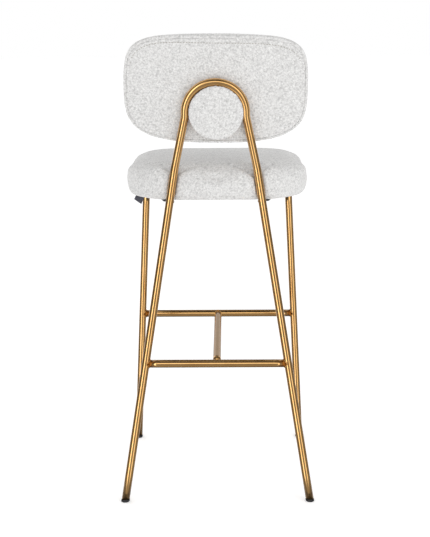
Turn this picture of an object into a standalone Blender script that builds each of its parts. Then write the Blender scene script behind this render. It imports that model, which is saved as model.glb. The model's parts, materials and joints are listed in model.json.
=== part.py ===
"""Counter-height bar stool: a bent tube hoop carries the backrest and the rear of the seat, two straight
tubes carry the front, and three tubes make the footrest.

Metres, +Z up. The floor is Z = 0, the origin is under the middle of the stool, and the sitter faces -Y.
"""

import math

import bmesh
import bpy
from mathutils import Vector

# ---- driving dimensions -------------------------------------------------------------------------
GAP = 0.0003                    # clearance between pieces that touch

TUBE_RADIUS = 0.0095
TUBE_WALL = 0.0015
TUBE_SIDES = 16

FOOT_HALF_SPREAD = 0.2216       # leg axis to the centre plane, at the floor
REAR_FOOT_Y = 0.2508
LEG_BASE_DEPTH = 0.4640         # rear foot to front foot

KNEE_HEIGHT = 0.7970            # where the hoop turns from leg into back support
KNEE_HALF_SPREAD = 0.0970
KNEE_FORWARD = 0.0695           # how far the hoop leg leans forward up to its knee
KNEE_BEND_RADIUS = 0.0900
RECLINE = math.radians(8.3)     # backward lean of the hoop above its knee
ARCH_RADIUS = 0.0714            # to the tube's axis
ARCH_CENTRE_RISE = 0.1332       # knee to arch centre, along the lean
ARCH_STRAIGHT = 0.0095          # straight stretch below the arch's half circle
ARCH_BEND_RADIUS = 0.0550
ARCH_STEPS = 18

FRONT_LEG_TOP_INSET = 0.0358    # front leg's top, in from the side of the seat
REAR_BAR_HEIGHT = 0.3320
FRONT_BAR_HEIGHT = 0.3510

GLIDE_RADIUS = 0.0101
GLIDE_LIP = 0.0065              # plastic showing below the tube
GLIDE_STEM = 0.0200

SEAT_HALF_WIDTH = 0.2254
SEAT_DEPTH = 0.4500
SEAT_BEHIND_LEG = 0.0011        # seat's rear edge, behind the axis of the hoop's legs at its underside
SEAT_UNDERSIDE = 0.7200
SEAT_THICKNESS = 0.0915         # underside to the top of the crown
SEAT_REAR_SQUARENESS = 3.4      # exponent of the plan's rounded outline, rear half
SEAT_FRONT_SQUARENESS = 5.0
SEAT_BOARD_THICKNESS = 0.0150
SEAT_FLAT_INSET = 0.0340        # where the flat underside begins, in from the widest outline
SEAT_TOP_INSET = 0.0500         # where the side ends and the crown begins
SEAT_CROWN_HEIGHT = 0.0085
SEAT_CROWN = (                  # (inset, above the side) up to the flat of the crown
    (0.0800, 0.0045),
    (0.1250, 0.0072),
)
SEAT_CROWN_INSET = 0.1750
SEAT_BOARD_INSET = 0.0400
SEAT_SCREW_REAR_Y = 0.0500
SEAT_SCREW_FRONT_Y = -0.0900
COVER_THICKNESS = 0.0020
SOFT_GAP = 0.0010               # cover to the foam inside it
TURN_UNDER = 0.0450             # cover folded under the board, from the widest outline
DUST_COVER_THICKNESS = 0.0010
CUSHION_CLEARANCE = 0.0010      # cushion to the hoop that presses into it

RAIL_WIDTH = 0.0220
RAIL_THICKNESS = 0.0050
REAR_RAIL_Y = 0.1050
FRONT_RAIL_Y = -0.2000
RAIL_END_SKEW = 0.0250          # the outer edge of a side rail stops short of the hoop by this

BACK_HALF_WIDTH = 0.2165
BACK_HALF_HEIGHT = 0.1275
BACK_CENTRE_RISE = 0.1841       # knee to the middle of the backrest, along the lean
BACK_THICKNESS = 0.0720
BACK_SQUARENESS = 3.8
BACK_SEAM_INSET = 0.0100        # rear seam, in from the widest outline
BACK_TOP_INSET = 0.0360         # where the side ends and the front crown begins
BACK_CROWN_DEPTH = 0.0070
BACK_CROWN = (                  # (inset, in front of the side)
    (0.0600, 0.0045),
)
BACK_CROWN_INSET = 0.0900
BACK_PANEL_THICKNESS = 0.0060
BACK_BOARD_THICKNESS = 0.0120
BACK_BOARD_INSET = 0.0240

PLATE_THICKNESS = 0.0030
BOSS_GAP = 0.0012               # round pad to the tube that circles it
BOSS_BOARD_THICKNESS = 0.0080
BOSS_HEIGHT = 0.0245            # round pad, from the backrest to its crown
BOSS_ROUNDING = (               # (share of the radius, below the crown)
    (0.94, 0.0030),
    (0.80, 0.0008),
    (0.55, 0.0),
)
BOLT_CIRCLE_INSET = 0.0280      # bolts and clips, in from the axis of the arch
CLIP_RADIUS = 0.0030
CLIP_COVERED = 0.0020           # wood left over a clip's blind hole

LABEL_THICKNESS = 0.0012
LABEL_FROM_REAR = 0.1030        # the tag's plane, in front of the seat's rear edge
LABEL_CORNERS = (               # (in from the seat's side, below its underside)
    (0.0318, 0.0006),
    (0.0549, 0.0010),
    (0.0443, 0.0230),
    (0.0269, 0.0107),
)

BOLT_RADIUS = 0.0030            # M6
BOLT_HEAD_RADIUS = 0.0055
BOLT_HEAD_HEIGHT = 0.0033
HOLE_CLEARANCE = 0.0003
T_NUT_RADIUS = 0.0095
T_NUT_FLANGE = 0.0015
T_NUT_BARREL_RADIUS = 0.0042
T_NUT_REACH = 0.6               # share of the board that the barrel goes into
SCREW_SHORTFALL = 0.0010        # a screw ends this far inside its nut's flange

CUTTER_START = 0.8              # cutters for the hoop start at this share of the seat's height
CUTTER_END = 1.1
DRILL_OVERRUN = 0.0100

OUTLINE_POINTS = 36             # around a cushion
ROUND_POINTS = 12               # around a fastener

# ---- finishes: colour, roughness, metallic -------------------------------------------------------
FINISHES = {
    "gold_steel": ((0.62, 0.40, 0.16), 0.30, 1.0),
    "boucle": ((0.76, 0.76, 0.74), 0.95, 0.0),
    "foam": ((0.85, 0.80, 0.62), 0.90, 0.0),
    "plywood": ((0.66, 0.48, 0.30), 0.70, 0.0),
    "black_plastic": ((0.02, 0.02, 0.02), 0.55, 0.0),
    "zinc_steel": ((0.55, 0.55, 0.56), 0.35, 1.0),
    "dust_cloth": ((0.03, 0.03, 0.03), 0.90, 0.0),
    "label_tape": ((0.08, 0.08, 0.10), 0.80, 0.0),
}


# ---- shared values --------------------------------------------------------------------------------
def knee_point(side):
    return Vector((side * KNEE_HALF_SPREAD, REAR_FOOT_Y - KNEE_FORWARD, KNEE_HEIGHT))


def rear_foot(side):
    return Vector((side * FOOT_HALF_SPREAD, REAR_FOOT_Y, 0.0))


def front_foot(side):
    return Vector((side * FOOT_HALF_SPREAD, REAR_FOOT_Y - LEG_BASE_DEPTH, 0.0))


def rail_underside():
    return SEAT_UNDERSIDE - GAP - RAIL_THICKNESS


def front_leg_top(side):
    y = REAR_FOOT_Y - LEG_BASE_DEPTH
    return Vector((side * (SEAT_HALF_WIDTH - FRONT_LEG_TOP_INSET), y, rail_underside() - GAP))


def on_axis(low, high, height):
    """The point of the line low-high at this height."""
    return low + (high - low) * ((height - low.z) / (high.z - low.z))


def seat_rear():
    """Y of the seat's rear edge, which the hoop's legs press into."""
    return on_axis(rear_foot(1), knee_point(1), SEAT_UNDERSIDE).y + SEAT_BEHIND_LEG


def lean(x, rise, outward):
    """A point of the leaning back frame: rise goes up the lean from the knee line, outward goes forward
    from the plane that touches the front of the hoop's tube."""
    up = Vector((0.0, math.sin(RECLINE), math.cos(RECLINE)))
    forward = Vector((0.0, -math.cos(RECLINE), math.sin(RECLINE)))
    base = Vector((0.0, REAR_FOOT_Y - KNEE_FORWARD, KNEE_HEIGHT))
    return Vector((x, 0.0, 0.0)) + base + up * rise + forward * (outward + TUBE_RADIUS + GAP)


# ---- making objects --------------------------------------------------------------------------------
def clear_scene():
    for old in list(bpy.data.objects):
        bpy.data.objects.remove(old, do_unlink=True)


def finish_named(name):
    found = bpy.data.materials.get(name)
    if found:
        return found
    colour, roughness, metallic = FINISHES[name]
    material = bpy.data.materials.new(name)
    material.use_nodes = True
    shader = material.node_tree.nodes["Principled BSDF"]
    shader.inputs["Base Color"].default_value = (*colour, 1.0)
    shader.inputs["Roughness"].default_value = roughness
    shader.inputs["Metallic"].default_value = metallic
    return material


def add_object(name, points, faces, finish):
    mesh = bpy.data.meshes.new(name)
    mesh.from_pydata([tuple(p) for p in points], [], faces)
    shape = bmesh.new()
    shape.from_mesh(mesh)
    bmesh.ops.recalc_face_normals(shape, faces=shape.faces)
    shape.to_mesh(mesh)
    shape.free()
    mesh.shade_smooth()
    mesh.set_sharp_from_angle(angle=math.radians(35))
    made = bpy.data.objects.new(name, mesh)
    bpy.context.scene.collection.objects.link(made)
    if finish:
        mesh.materials.append(finish_named(finish))
    return made


def cut(target, cutter):
    """Subtracts cutter, a helper that is never rendered."""
    cutter.hide_render = True
    cutter.display_type = "WIRE"
    boolean = target.modifiers.new("cut_by_" + cutter.name, "BOOLEAN")
    boolean.operation = "DIFFERENCE"
    boolean.solver = "EXACT"
    boolean.object = cutter


def ring_faces(first, second, count):
    """Quads between two rings that start at these vertex numbers."""
    return [(first + k, first + (k + 1) % count, second + (k + 1) % count, second + k) for k in range(count)]


def closed_loft(name, rings, finish, capped):
    """Rings of equal length, each joined to the next. Capped closes the first and last with a face,
    otherwise the last ring joins the first, as in a pipe."""
    count = len(rings[0])
    points = [p for ring in rings for p in ring]
    faces = []
    for k in range(len(rings) - 1):
        faces += ring_faces(k * count, (k + 1) * count, count)
    last = (len(rings) - 1) * count
    if capped:
        faces.append(tuple(range(count)))
        faces.append(tuple(range(last, last + count)))
    else:
        faces += ring_faces(last, 0, count)
    return add_object(name, points, faces, finish)


# ---- tubes ------------------------------------------------------------------------------------------
def bent_path(corners, radii, steps):
    """A polyline whose inner corners are rounded: each by an arc of its radius, in this many steps."""
    path = [corners[0]]
    for before, corner, after, radius in zip(corners, corners[1:], corners[2:], radii):
        into = (corner - before).normalized()
        out = (after - corner).normalized()
        turn = into.angle(out)
        reach = radius * math.tan(turn / 2)
        start = corner - into * reach
        centre_way = (out - into).normalized()
        centre = corner + centre_way * (radius / math.cos(turn / 2))
        for k in range(steps + 1):
            angle = turn * k / steps
            path.append(centre + (start - centre) * math.cos(angle) + into * (radius * math.sin(angle)))
    path.append(corners[-1])
    return path


def path_rings(path, radius, sides, level_ends):
    """Circles around a path. With level_ends the first and last are slid along the tube to lie flat."""
    rings = []
    across = None
    for k, here in enumerate(path):
        along = (path[min(k + 1, len(path) - 1)] - path[max(k - 1, 0)]).normalized()
        if across is None:
            across = along.cross(Vector((0.0, 1.0, 0.0))).normalized()
        across = (across - along * across.dot(along)).normalized()
        other = along.cross(across)
        ring = []
        for s in range(sides):
            angle = math.tau * s / sides
            point = here + across * (radius * math.cos(angle)) + other * (radius * math.sin(angle))
            if level_ends and k in (0, len(path) - 1):
                point = point - along * ((point.z - here.z) / along.z)
            ring.append(point)
        rings.append(ring)
    return rings


def pipe(name, path, finish, level_ends=False):
    """A hollow tube with open ends."""
    outer = path_rings(path, TUBE_RADIUS, TUBE_SIDES, level_ends)
    inner = path_rings(path, TUBE_RADIUS - TUBE_WALL, TUBE_SIDES, level_ends)
    return closed_loft(name, outer + inner[::-1], finish, capped=False)


def rod(name, low, high, radius, finish=None, sides=TUBE_SIDES):
    return closed_loft(name, path_rings([low, high], radius, sides, False), finish, capped=True)


def hoop_path(foot_height):
    """From one foot up to the knee, round the arch and down to the other foot."""
    bend_rise = ARCH_CENTRE_RISE - ARCH_STRAIGHT
    depth = -TUBE_RADIUS - GAP
    half = [
        on_axis(rear_foot(1), knee_point(1), foot_height),
        knee_point(1),
        lean(ARCH_RADIUS, bend_rise, depth),
        lean(ARCH_RADIUS, ARCH_CENTRE_RISE, depth),
    ]
    half = bent_path(half, [KNEE_BEND_RADIUS, ARCH_BEND_RADIUS], 3)
    arch = []
    for k in range(1, ARCH_STEPS):
        angle = math.pi * k / ARCH_STEPS
        rise = ARCH_CENTRE_RISE + ARCH_RADIUS * math.sin(angle)
        arch.append(lean(ARCH_RADIUS * math.cos(angle), rise, depth))
    mirrored = [Vector((-p.x, p.y, p.z)) for p in reversed(half)]
    return half + arch + mirrored


def make_hoop():
    return pipe("rear_hoop", hoop_path(GLIDE_LIP + GAP), "gold_steel", level_ends=True)


def make_front_legs():
    for side, word in ((1, "left"), (-1, "right")):
        low = on_axis(front_foot(side), front_leg_top(side), GLIDE_LIP + GAP)
        pipe("front_leg_" + word, [low, front_leg_top(side)], "gold_steel", level_ends=True)


def coped_bar(name, low, high, posts):
    """A tube from axis to axis whose ends are cut to the posts that it is welded to."""
    bar = pipe(name, [low, high], "gold_steel")
    for k, (post_low, post_high) in enumerate(posts):
        way = (post_high - post_low).normalized() * (4 * TUBE_RADIUS)
        middle = low if k == 0 else high
        cutter = rod(f"{name}_cope_{k}", middle - way, middle + way, TUBE_RADIUS + GAP)
        cut(bar, cutter)
    return bar


def rear_bar_end(side):
    return on_axis(rear_foot(side), knee_point(side), REAR_BAR_HEIGHT)


def front_bar_end(side):
    return on_axis(front_foot(side), front_leg_top(side), FRONT_BAR_HEIGHT)


def make_footrest():
    rear_posts = [(rear_foot(side), knee_point(side)) for side in (1, -1)]
    front_posts = [(front_foot(side), front_leg_top(side)) for side in (1, -1)]
    coped_bar("footrest_bar_rear", rear_bar_end(1), rear_bar_end(-1), rear_posts)
    coped_bar("footrest_bar_front", front_bar_end(1), front_bar_end(-1), front_posts)
    rear_middle = (rear_bar_end(1) + rear_bar_end(-1)) / 2
    front_middle = (front_bar_end(1) + front_bar_end(-1)) / 2
    bars = [(rear_bar_end(1), rear_bar_end(-1)), (front_bar_end(1), front_bar_end(-1))]
    coped_bar("footrest_tie", rear_middle, front_middle, bars)


def make_glides():
    """Plastic feet: a sole with a chamfered rim, and a stem that plugs the tube."""
    stem_radius = TUBE_RADIUS - TUBE_WALL - GAP
    chamfer = 0.0010
    profile = (
        (0.0, GLIDE_RADIUS - chamfer),
        (chamfer, GLIDE_RADIUS),
        (GLIDE_LIP, GLIDE_RADIUS),
        (GLIDE_LIP, stem_radius),
        (GLIDE_LIP + GLIDE_STEM, stem_radius),
    )
    legs = {
        "glide_rear_left": (rear_foot(1), knee_point(1)),
        "glide_rear_right": (rear_foot(-1), knee_point(-1)),
        "glide_front_left": (front_foot(1), front_leg_top(1)),
        "glide_front_right": (front_foot(-1), front_leg_top(-1)),
    }
    for name, (low, high) in legs.items():
        along = (high - low).normalized()
        rings = []
        for height, radius in profile:
            centre = on_axis(low, high, height)
            tilted = path_rings([centre, centre + along], radius, TUBE_SIDES, True)[0]
            rings.append(tilted)
        closed_loft(name, rings, "black_plastic", capped=True)


# ---- seat frame --------------------------------------------------------------------------------------
def side_rail_x(y):
    """Axis of a side rail, which runs from the hoop leg to the front leg's top."""
    rear = on_axis(rear_foot(1), knee_point(1), rail_underside())
    front = front_leg_top(1)
    share = (rear.y - y) / (rear.y - front.y)
    return rear.x + (front.x - rear.x) * share


def flat_bar(name, corners, finish):
    low = [Vector((x, y, rail_underside())) for x, y in corners]
    high = [Vector((x, y, rail_underside() + RAIL_THICKNESS)) for x, y in corners]
    return closed_loft(name, [low, high], finish, capped=True)


def screw_places():
    """The four seat screws, in the middle of the side rails."""
    places = {}
    for word, y in (("rear", SEAT_SCREW_REAR_Y), ("front", SEAT_SCREW_FRONT_Y)):
        places[word + "_left"] = (side_rail_x(y), y)
        places[word + "_right"] = (-side_rail_x(y), y)
    return places


def vertical_drill(name, place, radius, low, high):
    x, y = place
    return rod(name, Vector((x, y, low)), Vector((x, y, high)), radius, sides=ROUND_POINTS)


def make_seat_rails():
    half = RAIL_WIDTH / 2
    rear_end = on_axis(rear_foot(1), knee_point(1), rail_underside()).y
    front_end = REAR_FOOT_Y - LEG_BASE_DEPTH - TUBE_RADIUS
    for side, word in ((1, "left"), (-1, "right")):
        corners = []
        outer_end = rear_end - RAIL_END_SKEW
        for y, edge in ((rear_end, -half), (outer_end, half), (front_end, half), (front_end, -half)):
            corners.append((side * (side_rail_x(y) + edge), y))
        rail = flat_bar("seat_rail_" + word, corners, "gold_steel")
        low = on_axis(rear_foot(side), knee_point(side), SEAT_UNDERSIDE * CUTTER_START)
        high = on_axis(rear_foot(side), knee_point(side), SEAT_UNDERSIDE * CUTTER_END)
        cut(rail, rod("hoop_notch_" + word, low, high, TUBE_RADIUS + GAP))
        for place_name, place in screw_places().items():
            if place_name.endswith(word):
                drill = vertical_drill(
                    "rail_drill_" + place_name, place, BOLT_RADIUS + HOLE_CLEARANCE,
                    rail_underside() - RAIL_THICKNESS, SEAT_UNDERSIDE + RAIL_THICKNESS,
                )
                cut(rail, drill)
    for word, y in (("rear", REAR_RAIL_Y), ("front", FRONT_RAIL_Y)):
        corners = []
        for edge_y, side in ((y + half, 1), (y + half, -1), (y - half, -1), (y - half, 1)):
            corners.append((side * (side_rail_x(edge_y) - half - GAP), edge_y))
        flat_bar("seat_rail_" + word, corners, "gold_steel")


# ---- cushions ------------------------------------------------------------------------------------------
def rounded_outline(half_x, half_y, rear_squareness, front_squareness):
    """Points of |x/a|^n + |y/b|^n = 1 as (x, y), closest together at the corners. The half with y above
    zero has the rear exponent."""
    points = []
    for k in range(OUTLINE_POINTS):
        angle = math.tau * k / OUTLINE_POINTS
        c = math.cos(angle)
        s = math.sin(angle)
        squareness = rear_squareness if s > 0 else front_squareness
        x = math.copysign(abs(c) ** (2 / squareness), c)
        y = math.copysign(abs(s) ** (2 / squareness), s)
        points.append((half_x * x, half_y * y))
    return points


def offset_profile(profile, thickness):
    """The profile moved inwards by this thickness, square to its own line."""
    moved = []
    for k, (inset, height) in enumerate(profile):
        before = profile[max(k - 1, 0)]
        after = profile[min(k + 1, len(profile) - 1)]
        along = Vector((after[0] - before[0], after[1] - before[1])).normalized()
        moved.append((inset + along.y * thickness, height - along.x * thickness))
    return moved


def half_round(start, end, bulge, power, steps):
    """Profile points from start (inset, height) at the underside round the side to end at the top.
    The side is half of |u|^n + |v|^n = 1, and bulge is how high its widest place is, from 0 to 1."""
    points = []
    middle = start[1] + (end[1] - start[1]) * bulge
    for k in range(steps + 1):
        angle = -math.pi / 2 + math.pi * k / steps
        c = abs(math.cos(angle)) ** (2 / power)
        s = abs(math.sin(angle)) ** (2 / power)
        edge = start if angle < 0 else end
        points.append((edge[0] * (1 - c), middle + (edge[1] - middle) * s))
    return points


def seat_profile():
    """(inset, height above the underside), from the folded edge of the cover to near the crown."""
    side_height = SEAT_THICKNESS - SEAT_CROWN_HEIGHT
    side = half_round((SEAT_FLAT_INSET, 0.0), (SEAT_TOP_INSET, side_height), 0.46, 2.2, 8)
    crown = [(inset, side_height + rise) for inset, rise in SEAT_CROWN]
    return [(TURN_UNDER, 0.0)] + side + crown + [(SEAT_CROWN_INSET, SEAT_THICKNESS)]


def back_profile():
    """(inset, height forward of the rear face), from the rear seam to near the front crown."""
    side_depth = BACK_THICKNESS - BACK_CROWN_DEPTH
    side = half_round((BACK_SEAM_INSET, 0.0), (BACK_TOP_INSET, side_depth), 0.42, 2.4, 7)
    crown = [(inset, side_depth + rise) for inset, rise in BACK_CROWN]
    return side + crown + [(BACK_CROWN_INSET, BACK_THICKNESS)]


def seat_ring(inset, height):
    centre_y = seat_rear() - SEAT_DEPTH / 2
    half_x = SEAT_HALF_WIDTH - inset
    half_y = SEAT_DEPTH / 2 - inset
    flat = rounded_outline(half_x, half_y, SEAT_REAR_SQUARENESS, SEAT_FRONT_SQUARENESS)
    return [Vector((x, centre_y + y, SEAT_UNDERSIDE + height)) for x, y in flat]


def back_ring(inset, height):
    half_x = BACK_HALF_WIDTH - inset
    half_y = BACK_HALF_HEIGHT - inset
    flat = rounded_outline(half_x, half_y, BACK_SQUARENESS, BACK_SQUARENESS)
    return [lean(x, BACK_CENTRE_RISE + y, height) for x, y in flat]


def boss_ring(radius, height):
    flat = rounded_outline(radius, radius, 2.0, 2.0)
    return [lean(x, ARCH_CENTRE_RISE + y, -height) for x, y in flat]


def shell(name, ring, profile, thickness, finish):
    """A thin cover: the profile and its offset, joined round the opening and closed at the crown."""
    inner = offset_profile(profile, thickness)
    inner[0] = (profile[0][0], inner[0][1])
    outside = [ring(inset, height) for inset, height in profile]
    inside = [ring(inset, height) for inset, height in inner]
    count = len(outside[0])
    rings = inside[::-1] + outside
    points = [p for one in rings for p in one]
    faces = []
    for k in range(len(rings) - 1):
        faces += ring_faces(k * count, (k + 1) * count, count)
    last = (len(rings) - 1) * count
    faces.append(tuple(range(count)))
    faces.append(tuple(range(last, last + count)))
    return add_object(name, points, faces, finish)


def solid(name, ring, profile, finish):
    return closed_loft(name, [ring(inset, height) for inset, height in profile], finish, capped=True)


def hoop_cutter(name):
    """What the hoop needs where it presses into a cushion: its path with a clearance."""
    path = hoop_path(SEAT_UNDERSIDE * CUTTER_START)
    rings = path_rings(path, TUBE_RADIUS + CUSHION_CLEARANCE, TUBE_SIDES, False)
    return closed_loft(name, rings, None, capped=True)


def make_seat():
    profile = seat_profile()
    cover = shell("seat_cover", seat_ring, profile, COVER_THICKNESS, "boucle")
    filling = offset_profile(profile, COVER_THICKNESS + SOFT_GAP)
    board_low = COVER_THICKNESS + GAP
    board_high = board_low + SEAT_BOARD_THICKNESS
    pocket = [(SEAT_BOARD_INSET, board_high + GAP), (SEAT_BOARD_INSET, filling[1][1])]
    foam = solid("seat_foam", seat_ring, pocket + filling[1:], "foam")
    board = solid(
        "seat_board", seat_ring,
        [(SEAT_BOARD_INSET + GAP, board_low), (SEAT_BOARD_INSET + GAP, board_high)], "plywood",
    )
    cutter = hoop_cutter("hoop_groove")
    cut(cover, cutter)
    cut(foam, cutter)
    under_inset = TURN_UNDER + GAP
    solid(
        "seat_dust_cover", seat_ring,
        [(under_inset, GAP), (under_inset, GAP + DUST_COVER_THICKNESS)], "dust_cloth",
    )
    return board


def bolt(name, place, along, length, finish="zinc_steel"):
    """A button-head bolt: place is under its head, along the way its shank goes."""
    head = place - along * BOLT_HEAD_HEIGHT
    rings = []
    for at, radius in (
        (head, BOLT_HEAD_RADIUS * 0.7),
        (head + along * (BOLT_HEAD_HEIGHT * 0.5), BOLT_HEAD_RADIUS),
        (place, BOLT_HEAD_RADIUS),
        (place, BOLT_RADIUS),
        (place + along * length, BOLT_RADIUS),
    ):
        rings.append(path_rings([at, at + along], radius, ROUND_POINTS, False)[0])
    return closed_loft(name, rings, finish, capped=True)


def t_nut(name, place, along, length):
    """A flanged barrel nut: place is on its flange's outer face, along the way into the board."""
    bore = BOLT_RADIUS + HOLE_CLEARANCE
    rings = []
    for reach, radius in (
        (0.0, bore), (0.0, T_NUT_RADIUS), (T_NUT_FLANGE, T_NUT_RADIUS),
        (T_NUT_FLANGE, T_NUT_BARREL_RADIUS), (length, T_NUT_BARREL_RADIUS), (length, bore),
    ):
        at = place + along * reach
        rings.append(path_rings([at, at + along], radius, ROUND_POINTS, False)[0])
    return closed_loft(name, rings, "zinc_steel", capped=False)


def make_seat_fixings(board):
    """Four screws up through the rails into T-nuts that sit on top of the board."""
    up = Vector((0.0, 0.0, 1.0))
    dust_cover = bpy.data.objects["seat_dust_cover"]
    foam = bpy.data.objects["seat_foam"]
    nut_seat = SEAT_UNDERSIDE + COVER_THICKNESS + GAP + SEAT_BOARD_THICKNESS
    nut_length = SEAT_BOARD_THICKNESS * T_NUT_REACH
    screw_length = nut_seat - rail_underside() + GAP - SCREW_SHORTFALL
    for word, (x, y) in screw_places().items():
        bolt("seat_screw_" + word, Vector((x, y, rail_underside() - GAP)), up, screw_length)
        flange_top = Vector((x, y, nut_seat + GAP + T_NUT_FLANGE))
        t_nut("seat_t_nut_" + word, flange_top, -up, nut_length)
        hole = T_NUT_BARREL_RADIUS + HOLE_CLEARANCE
        drill_low = SEAT_UNDERSIDE - DRILL_OVERRUN
        drill = vertical_drill("board_drill_" + word, (x, y), hole, drill_low, nut_seat + T_NUT_FLANGE)
        cut(board, drill)
        cut(dust_cover, drill)
        low = nut_seat - T_NUT_FLANGE
        high = flange_top.z + GAP
        cut(foam, vertical_drill("foam_recess_" + word, (x, y), T_NUT_RADIUS + GAP, low, high))


def make_label():
    """A short fabric tag, sewn under the cover's lower edge near the rear left corner."""
    y = seat_rear() - LABEL_FROM_REAR
    front = [Vector((SEAT_HALF_WIDTH - inset, y, SEAT_UNDERSIDE - drop)) for inset, drop in LABEL_CORNERS]
    back = [p + Vector((0.0, LABEL_THICKNESS, 0.0)) for p in front]
    closed_loft("label_tag", [front, back], "label_tape", capped=True)


# ---- backrest -------------------------------------------------------------------------------------------
def round_arch_centre(turns):
    """Places on a circle round the arch's centre, as (x, rise), for each word and its angle in degrees."""
    circle = ARCH_RADIUS - BOLT_CIRCLE_INSET
    places = {}
    for word, degrees in turns:
        angle = math.radians(degrees)
        places[word] = (circle * math.cos(angle), ARCH_CENTRE_RISE + circle * math.sin(angle))
    return places


def back_bolt_places():
    return round_arch_centre((("top", 90), ("left", -30), ("right", 210)))


def clip_places():
    """The push-in clips that hold the round pad sit between the bolts."""
    return round_arch_centre((("low", -90), ("left", 30), ("right", 150)))


def drill_through(name, place, radius, start, end):
    x, rise = place
    return rod(name, lean(x, rise, start), lean(x, rise, end), radius, sides=ROUND_POINTS)


def make_back():
    profile = back_profile()
    shell("back_cover", back_ring, profile, COVER_THICKNESS, "boucle")
    panel_inset = BACK_SEAM_INSET + COVER_THICKNESS + GAP
    panel = solid(
        "back_rear_panel", back_ring,
        [(panel_inset, 0.0), (panel_inset, BACK_PANEL_THICKNESS)], "boucle",
    )
    board_low = BACK_PANEL_THICKNESS + GAP
    board_high = board_low + BACK_BOARD_THICKNESS
    board = solid(
        "back_board", back_ring,
        [(BACK_BOARD_INSET + GAP, board_low), (BACK_BOARD_INSET + GAP, board_high)], "plywood",
    )
    filling = offset_profile(profile, COVER_THICKNESS + SOFT_GAP)
    filling = [(inset, max(height, board_low)) for inset, height in filling]
    lowest = max(k for k, (inset, height) in enumerate(filling) if height == board_low)
    pocket = [(BACK_BOARD_INSET, board_high + GAP), (BACK_BOARD_INSET, board_low)]
    foam = solid("back_foam", back_ring, pocket + filling[lowest:], "foam")
    return panel, board, foam


def make_back_fixings(panel, board, foam):
    """A steel plate welded inside the arch, and bolts through it into T-nuts in the backrest board."""
    forward = (lean(0, 0, 1) - lean(0, 0, 0)).normalized()
    off_axis = TUBE_RADIUS - GAP - PLATE_THICKNESS
    plate_radius = ARCH_RADIUS - math.sqrt(TUBE_RADIUS ** 2 - off_axis ** 2) - GAP
    plate_rings = [boss_ring(plate_radius, GAP + PLATE_THICKNESS), boss_ring(plate_radius, GAP)]
    plate = closed_loft("back_mount_plate", plate_rings, "gold_steel", capped=True)
    nut_face = BACK_PANEL_THICKNESS + GAP + BACK_BOARD_THICKNESS
    head_seat = -GAP - PLATE_THICKNESS - GAP
    for word, place in back_bolt_places().items():
        x, rise = place
        length = nut_face - head_seat - SCREW_SHORTFALL
        bolt("back_bolt_" + word, lean(x, rise, head_seat), forward, length)
        t_nut("back_t_nut_" + word, lean(x, rise, nut_face + GAP + T_NUT_FLANGE), -forward,
              BACK_BOARD_THICKNESS * T_NUT_REACH)
        hole = BOLT_RADIUS + HOLE_CLEARANCE
        cut(plate, drill_through("plate_drill_" + word, place, hole, -DRILL_OVERRUN, DRILL_OVERRUN))
        cut(panel, drill_through("panel_drill_" + word, place, hole, -DRILL_OVERRUN, nut_face))
        nut_hole = T_NUT_BARREL_RADIUS + HOLE_CLEARANCE
        drill = drill_through("back_board_drill_" + word, place, nut_hole, 0.0, nut_face + DRILL_OVERRUN)
        cut(board, drill)
        recess_high = nut_face + T_NUT_FLANGE + 2 * GAP
        recess_low = nut_face - T_NUT_FLANGE
        cut(foam, drill_through("back_recess_" + word, place, T_NUT_RADIUS + GAP, recess_low, recess_high))
    return plate


def make_boss(plate):
    """The round pad that fills the arch and hides the plate: a wooden disc, foam and a fabric cover."""
    radius = ARCH_RADIUS - TUBE_RADIUS - BOSS_GAP
    start = GAP + PLATE_THICKNESS + GAP
    face = start + BOSS_BOARD_THICKNESS
    board_radius = radius - COVER_THICKNESS - 2 * GAP
    rings = [boss_ring(board_radius, start), boss_ring(board_radius, face)]
    board = closed_loft("boss_board", rings, "plywood", capped=True)
    soft = BOSS_HEIGHT - COVER_THICKNESS - GAP
    rim = face + 0.4 * (soft - face)
    foam_profile = [(board_radius, face + GAP), (board_radius, rim)]
    foam_profile += [(board_radius * share, soft - drop) for share, drop in BOSS_ROUNDING]
    closed_loft("boss_foam", [boss_ring(r, h) for r, h in foam_profile], "foam", capped=True)
    outside = [(radius, start), (radius, rim)]
    outside += [(radius * share, BOSS_HEIGHT - drop) for share, drop in BOSS_ROUNDING]
    inside = [(board_radius + GAP, start), (board_radius + GAP, rim)]
    inside += [(board_radius * share + GAP, soft + GAP - drop) for share, drop in BOSS_ROUNDING]
    wall = inside[::-1] + outside
    closed_loft("boss_cover", [boss_ring(r, h) for r, h in wall], "boucle", capped=True)
    for word, place in back_bolt_places().items():
        cut(board, drill_through("boss_drill_" + word, place, BOLT_HEAD_RADIUS + 2 * GAP, 0.0, -BOSS_HEIGHT))
    for word, place in clip_places().items():
        x, rise = place
        clip_low = lean(x, rise, CLIP_COVERED - face)
        clip_high = lean(x, rise, -GAP)
        rod("boss_clip_" + word, clip_low, clip_high, CLIP_RADIUS, "black_plastic", ROUND_POINTS // 2)
        hole = CLIP_RADIUS + HOLE_CLEARANCE
        cut(board, drill_through("clip_board_drill_" + word, place, hole, 0.0, CLIP_COVERED - face - GAP))
        cut(plate, drill_through("clip_plate_drill_" + word, place, hole, DRILL_OVERRUN, -DRILL_OVERRUN))


def main():
    clear_scene()
    make_hoop()
    make_front_legs()
    make_footrest()
    make_glides()
    make_seat_rails()
    board = make_seat()
    make_seat_fixings(board)
    make_label()
    panel, back_board, foam = make_back()
    plate = make_back_fixings(panel, back_board, foam)
    make_boss(plate)


main()
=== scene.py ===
# %% [markdown]
# # A bar stool in brushed gold and boucle
#
# The stool is a bent tube hoop with a back cushion in its arch, a puffy seat, two straight front legs and a
# footrest of welded tubes. The sizes come from a fixed frame, a set of plain solids that is only loaded here.
# What follows gives each visible piece its real surface and its real finish, one piece at a time.

# %% Load the fixed frame
import json
import math

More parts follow.
